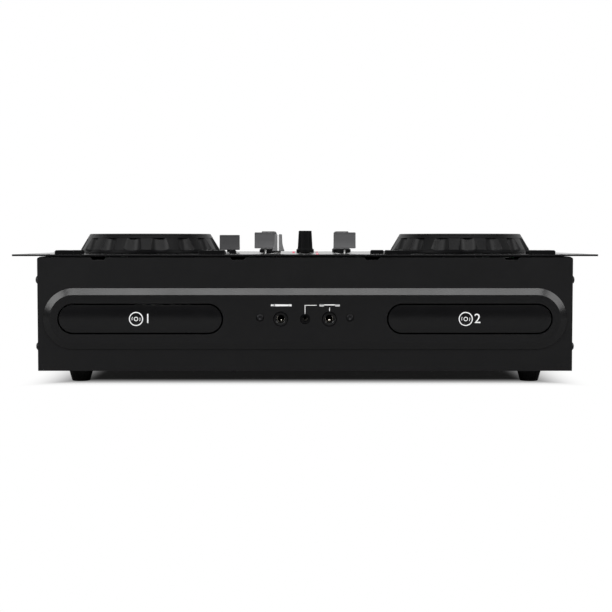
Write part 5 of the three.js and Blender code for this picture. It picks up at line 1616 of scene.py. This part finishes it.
class PLAYER_OT_disc_drives(PlayerOperator, bpy.types.Operator):
    """Dress the loaders: frames, trays, gears, hubs and pickups."""

    bl_idname = "cd_player.disc_drives"
    bl_label = "Disc drives"

    def execute(self, context):
        for side in SIDES:
            dress_node(f"disc_drive_frame_{side}", "nylon", "housing", "black_plastic", FRAME_EDGE)
            dress_node(f"loading_gear_{side}", "acetal", f"gear_{side}", "gear_plastic", GEAR_EDGE)
            dress_node(f"pickup_sled_{side}", "nylon", f"sled_{side}", "black_plastic")
            self.tray(side)
            self.hub(side)
            self.lens(side)
        return {"FINISHED"}

    @staticmethod
    def tray(side):
        """Tray with smooth round seats over the CAD tray's own rack."""
        node = f"disc_tray_{side}"
        low, high, _ = measure(node)
        hub_x, hub_y, _ = JOINTS[f"hub_{side}_spin"]["pos_m"]
        base = high.z - TRAY_THICKNESS
        tray = slab(f"tray_{side}", (high.x - low.x, TRAY_LENGTH, TRAY_THICKNESS),
                    (hub_x, low.y + TRAY_LENGTH / 2, base + TRAY_THICKNESS / 2), TRAY_CORNER, segments=8)
        floors = [*((radius, high.z - depth) for radius, depth in TRAY_SEATS), (TRAY_OPENING, low.z)]
        cutters = [rod(radius, TRAY_CUT, (hub_x, hub_y, floor + TRAY_CUT / 2), corners=128)
                   for radius, floor in floors]
        cutters.append(slab("slot", PICKUP_SLOT, (hub_x, hub_y + PICKUP_SLOT[1] / 2, base), TRAY_CORNER))
        carve(tray, *cutters)
        break_edges(tray, TRAY_EDGE, angle=30, segments=2)
        finish_piece(tray, "door", f"tray_{side}", "black_plastic", node)
        rack = copy_piece(frame["nodes"][node], f"rack_{side}")
        edit(rack)
        weld()
        cut_off((0, 0, low.z + RACK_HEIGHT), (0, 0, 1))
        weld()
        close()
        finish_piece(rack, "door", f"tray_{side}", "black_plastic")

    @staticmethod
    def hub(side):
        """Spindle hub with its centring cone and rubber ring."""
        node = f"spindle_hub_{side}"
        x, y, _ = JOINTS[f"hub_{side}_spin"]["pos_m"]
        low, high, _ = measure(node)
        base = high.z - HUB_CONE
        hub = turned(f"hub_{side}", [(0, low.z - base), (HUB_SHAFT, low.z - base), *in_mm(HUB_SECTION)], 96,
                     (x, y, base))
        finish_piece(hub, "zinc", f"hub_{side}", "zinc_steel", node, angle=25)
        hub.data.materials[0] = ringed(f"turned_hub_{side}", linear(HUB_COLOUR), HUB_ROUGHNESS, HUB_PITCH,
                                       HUB_RELIEF, (x, y), metallic=1.0)
        ring = turned(f"hub_ring_{side}", in_mm(HUB_RING_SECTION), 96, (x, y, base))
        finish_piece(ring, "foot", f"hub_{side}", "foot_rubber")

    @staticmethod
    def lens(side):
        """The pickup's lens on top of its carriage."""
        _, high, centre = measure(f"pickup_sled_{side}")
        lens = turned(f"lens_{side}", in_mm(LENS_SECTION), 48, (centre.x, centre.y, high.z))
        finish_piece(lens, "lens", f"sled_{side}", "display_glass", angle=45)


# Phono sockets: the block behind the wall, the pitch of the rows, and the sections of one socket in mm
PHONO_WALL = 1.8 * MM
PHONO_BLOCK_CORNER = 1.5 * MM
PHONO_PITCH_X = 22 * MM
PHONO_PITCH_Z = 16 * MM
PHONO_SHELL = ((3.1, -2), (4.2, -2), (4.2, 7.6), (3.9, 8), (3.4, 8), (3.1, 7.7), (3.1, -2))
PHONO_CORE = ((1.7, -2), (3.05, -2), (3.05, 6.8), (1.7, 6.8), (1.7, -2))
PHONO_BASE = ((4.25, 0), (6.2, 0), (6.2, 0.9), (5.9, 1.2), (4.25, 1.2), (4.25, 0))
INLET_EDGE = 0.4 * MM
ROCKER_EDGE = 0.5 * MM


class PLAYER_OT_rear(PlayerOperator, bpy.types.Operator):
    """Model the phono sockets and dress the mains inlet and its rocker."""

    bl_idname = "cd_player.rear"
    bl_label = "Rear panel"

    def execute(self, context):
        low, high, centre = measure("rear_jack_block")
        wall = HOUSING_REAR - PHONO_WALL
        block = slab("phono_block", (high.x - low.x, wall - low.y, high.z - low.z),
                     (centre.x, (low.y + wall) / 2, centre.z), PHONO_BLOCK_CORNER, along=1, segments=4)
        finish_piece(block, "nylon", "housing", "nickel", "rear_jack_block")
        for column in (-1, 0, 1):
            for row, tone in ((-0.5, "red"), (0.5, "white")):
                place = (centre.x + column * PHONO_PITCH_X, HOUSING_REAR, centre.z + row * PHONO_PITCH_Z)
                for part, section, look, slot in (("shell", PHONO_SHELL, "nickel", "nickel"),
                                                  ("core", PHONO_CORE, f"{tone}_insert", "black_plastic"),
                                                  ("base", PHONO_BASE, f"{tone}_insert", "black_plastic")):
                    piece = turned(f"phono_{part}_{column + 2}_{tone}", in_mm(section), 48, place, TO_REAR)
                    finish_piece(piece, look, "housing", slot)
        dress_node("power_inlet", "nylon", "housing", "black_plastic", INLET_EDGE, 3)
        dress_node("power_switch", "gloss", "power_rocker", "gloss_black", ROCKER_EDGE, 3)
        return {"FINISHED"}


class PLAYER_OT_boards(PlayerOperator, bpy.types.Operator):
    """Dress the control board and the power supply."""

    bl_idname = "cd_player.boards"
    bl_label = "Boards"

    def execute(self, context):
        for node in ("control_board", "power_supply"):
            for slot in frame["nodes"][node].material_slots:
                slot.material = LOOKS["board"]
        return {"FINISHED"}


# Studio: what the lamps face, each lamp's place and size, the set and the surround
LAMP_TARGET = Vector((0, 0, 60 * MM))
KEY_LAMP = ((0, -1.45, 1.6), (1.9, 0.4))
TOP_LAMP = ((0, -0.1, 2.3), (2.6, 1.6))
FILL_LAMP = ((1.65, -1.35, 1.12), (0.95, 1.3))
FRAME_WIDTH = 36
SET_REACH = 5.0
SET_WALL = 4.0
FLOOR_DROP = 0.05 * MM
SURROUND_COLOUR = "#bfbfbf"
SURROUND_STRENGTH = 0.18


class PLAYER_OT_studio(PlayerOperator, bpy.types.Operator):
    """Set the floor, the backdrop, the lamps and the camera."""

    bl_idname = "cd_player.studio"
    bl_label = "Studio"

    def execute(self, context):
        scene = context.scene
        studio = scene.player_studio
        scene.view_settings.view_transform = "Standard"
        self.backdrop(studio)
        self.world(scene)
        self.lamp("key_lamp", *KEY_LAMP, studio.key_power)
        self.lamp("top_lamp", *TOP_LAMP, studio.top_power)
        (x, y, z), size = FILL_LAMP
        self.lamp("fill_lamp_left", (-x, y, z), size, studio.left_power)
        self.lamp("fill_lamp_right", (x, y, z), size, studio.right_power)
        deselect()
        place = (studio.camera_offset, PLATE_FRONT - studio.camera_distance, PLATE_TOP + studio.camera_rise)
        bpy.ops.object.camera_add(location=place, rotation=(QUARTER_TURN - studio.camera_pitch, 0, 0))
        camera = context.object
        camera.name = "photo_camera"
        camera.data.sensor_width = FRAME_WIDTH
        camera.data.lens = studio.focal_length
        camera.data.dof.use_dof = False
        scene.camera = camera
        return {"FINISHED"}

    @staticmethod
    def backdrop(studio):
        """A floor that sweeps up into a wall round the back of the set."""
        deselect()
        bpy.ops.mesh.primitive_circle_add(vertices=96, radius=SET_REACH, fill_type="NGON",
                                          location=(0, 0, -FLOOR_DROP))
        floor = settle(bpy.context.object)
        floor.name = "studio_floor"
        edit(floor)
        pick(floor, lambda edge: sum(corner.co.y for corner in edge.verts) > 0, "EDGE")
        bpy.ops.mesh.extrude_region_move(TRANSFORM_OT_translate={"value": (0, 0, SET_WALL)})
        close()
        floor.data.materials.append(studio_finish(studio.floor_colour))
        only(floor)
        bpy.ops.object.shade_smooth_by_angle(angle=math.radians(40))

    @staticmethod
    def world(scene):
        """An even, dim surround."""
        world = bpy.data.worlds.new("studio_surround")
        world.use_nodes = True
        surround = world.node_tree.nodes["Background"].inputs
        surround["Color"].default_value = linear(SURROUND_COLOUR)
        surround["Strength"].default_value = SURROUND_STRENGTH
        scene.world = world

    @staticmethod
    def lamp(name, place, size, watts):
        """A soft rectangular lamp that faces the player."""
        deselect()
        bpy.ops.object.light_add(type="AREA", location=place)
        lamp = bpy.context.object
        lamp.name = name
        lamp.data.shape = "RECTANGLE"
        lamp.data.size = size[0]
        lamp.data.size_y = size[1]
        lamp.data.energy = watts
        lamp.rotation_euler = (LAMP_TARGET - Vector(place)).to_track_quat("-Z", "Y").to_euler()
        lamp.visible_camera = False


# Painted shadow edge: where the floor turns white for the camera, from the footprint's edge, a painted fade that
# draws the soft edge of the shadow under the player; and how white it is before that, painted light that lifts the
# shadow under the player
PAINTED_SHADOW_EDGE = (-43 * MM, 17 * MM)
PAINTED_LIGHT_UNDER_PLAYER = 0.009
# Where it turns white in mirrors, from the player's middle
BACKDROP_BLEND = (1.6, 3.2)


def studio_finish(base):
    """Matt paint that keeps the shadow under the player, with a painted fade at the shadow's edge and a little
    painted light under the player, and is seen as plain white round it.
    """
    made = blank_material("matt_studio_paint")
    tree = made.node_tree
    place = add_node(tree, "ShaderNodeTexCoord")
    # How far a point lies outside the housing's footprint, for what the camera sees: the painted shadow edge
    # follows it
    middle = (HOUSING_FRONT + HOUSING_REAR) / 2
    centred = add_node(tree, "ShaderNodeMapping", {"Location": (0, -middle, 0)},
                       {"Vector": (place, "Object")})
    folded = add_node(tree, "ShaderNodeVectorMath", {"operation": "ABSOLUTE"}, {0: (centred, "Vector")})
    corner = (HOUSING_RIGHT, HOUSING_REAR - middle, 0)
    outside = add_node(tree, "ShaderNodeVectorMath", {"operation": "SUBTRACT", 1: corner},
                       {0: (folded, "Vector")})
    sides = add_node(tree, "ShaderNodeSeparateXYZ", links={"Vector": (outside, "Vector")})
    nearest = add_node(tree, "ShaderNodeMath", {"operation": "MAXIMUM"}, {0: (sides, "X"), 1: (sides, "Y")})
    # Painted shadow and light for the camera: white fades in across the footprint's edge to paint the shadow's
    # soft edge, with a little painted white under the player
    painted_shadow_fade = add_node(tree, "ShaderNodeMapRange", {
        "From Min": PAINTED_SHADOW_EDGE[0], "From Max": PAINTED_SHADOW_EDGE[1], "To Min": PAINTED_LIGHT_UNDER_PLAYER,
        "interpolation_type": "SMOOTHSTEP"}, {"Value": (nearest, "Value")})
    # How far it lies from the middle, for what metal and gloss mirror
    reach = add_node(tree, "ShaderNodeVectorMath", {"operation": "LENGTH"}, {0: (place, "Object")})
    far_white = add_node(tree, "ShaderNodeMapRange", {
        "From Min": BACKDROP_BLEND[0], "From Max": BACKDROP_BLEND[1], "interpolation_type": "SMOOTHSTEP"},
        {"Value": (reach, "Value")})
    path = add_node(tree, "ShaderNodeLightPath")
    mirrored = add_node(tree, "ShaderNodeMath", {"operation": "MAXIMUM"},
                        {0: (path, "Is Glossy Ray"), 1: (path, "Is Transmission Ray")})
    in_mirror = add_node(tree, "ShaderNodeMath", {"operation": "MULTIPLY"},
                         {0: (far_white, "Result"), 1: (mirrored, "Value")})
    in_camera = add_node(tree, "ShaderNodeMath", {"operation": "MULTIPLY"},
                         {0: (painted_shadow_fade, "Result"), 1: (path, "Is Camera Ray")})
    share = add_node(tree, "ShaderNodeMath", {"operation": "MAXIMUM"},
                     {0: (in_mirror, "Value"), 1: (in_camera, "Value")})
    paint = add_node(tree, "ShaderNodeBsdfDiffuse", {"Color": base})
    white = add_node(tree, "ShaderNodeEmission", {"Color": (1, 1, 1, 1), "Strength": 1.0})
    mixed = add_node(tree, "ShaderNodeMixShader",
                     links={"Fac": (share, "Value"), 1: (paint, "BSDF"), 2: (white, "Emission")})
    add_node(tree, "ShaderNodeOutputMaterial", links={"Surface": (mixed, "Shader")})
    return made


OPERATORS = (
    PLAYER_OT_finishes, PLAYER_OT_housing, PLAYER_OT_bezel, PLAYER_OT_doors, PLAYER_OT_front_marks,
    PLAYER_OT_sockets, PLAYER_OT_jog_wheels, PLAYER_OT_knobs, PLAYER_OT_slide_caps, PLAYER_OT_buttons,
    PLAYER_OT_feet, PLAYER_OT_screws, PLAYER_OT_displays, PLAYER_OT_plate_marks, PLAYER_OT_lamps,
    PLAYER_OT_disc_drives, PLAYER_OT_rear, PLAYER_OT_boards, PLAYER_OT_studio,
)
SETTINGS = {
    "player_housing": HousingSettings,
    "player_front": FrontSettings,
    "player_control": ControlSettings,
    "player_studio": StudioSettings,
}


class PLAYER_PT_sidebar(bpy.types.Panel):
    """Sizes, colours and steps of the CD player."""

    bl_label = "CD Player"
    bl_idname = "PLAYER_PT_sidebar"
    bl_space_type = "VIEW_3D"
    bl_region_type = "UI"
    bl_category = "CD Player"

    def draw(self, context):
        for name, group in SETTINGS.items():
            column = self.layout.column(align=True)
            for field in group.__annotations__:
                column.prop(getattr(context.scene, name), field)
        for operator in OPERATORS:
            self.layout.operator(operator.bl_idname)


def register():
    """Registers the settings, the operators and the panel."""
    for name, group in SETTINGS.items():
        bpy.utils.register_class(group)
        setattr(bpy.types.Scene, name, bpy.props.PointerProperty(type=group))
    for operator in OPERATORS:
        bpy.utils.register_class(operator)
    bpy.utils.register_class(PLAYER_PT_sidebar)


def unregister():
    """Takes them away again."""
    bpy.utils.unregister_class(PLAYER_PT_sidebar)
    for operator in reversed(OPERATORS):
        bpy.utils.unregister_class(operator)
    for name, group in SETTINGS.items():
        delattr(bpy.types.Scene, name)
        bpy.utils.unregister_class(group)


def main():
    """Runs every step in order."""
    register()
    for operator in OPERATORS:
        family, name = operator.bl_idname.split(".")
        getattr(getattr(bpy.ops, family), name)()


if __name__ == "__main__":
    main()
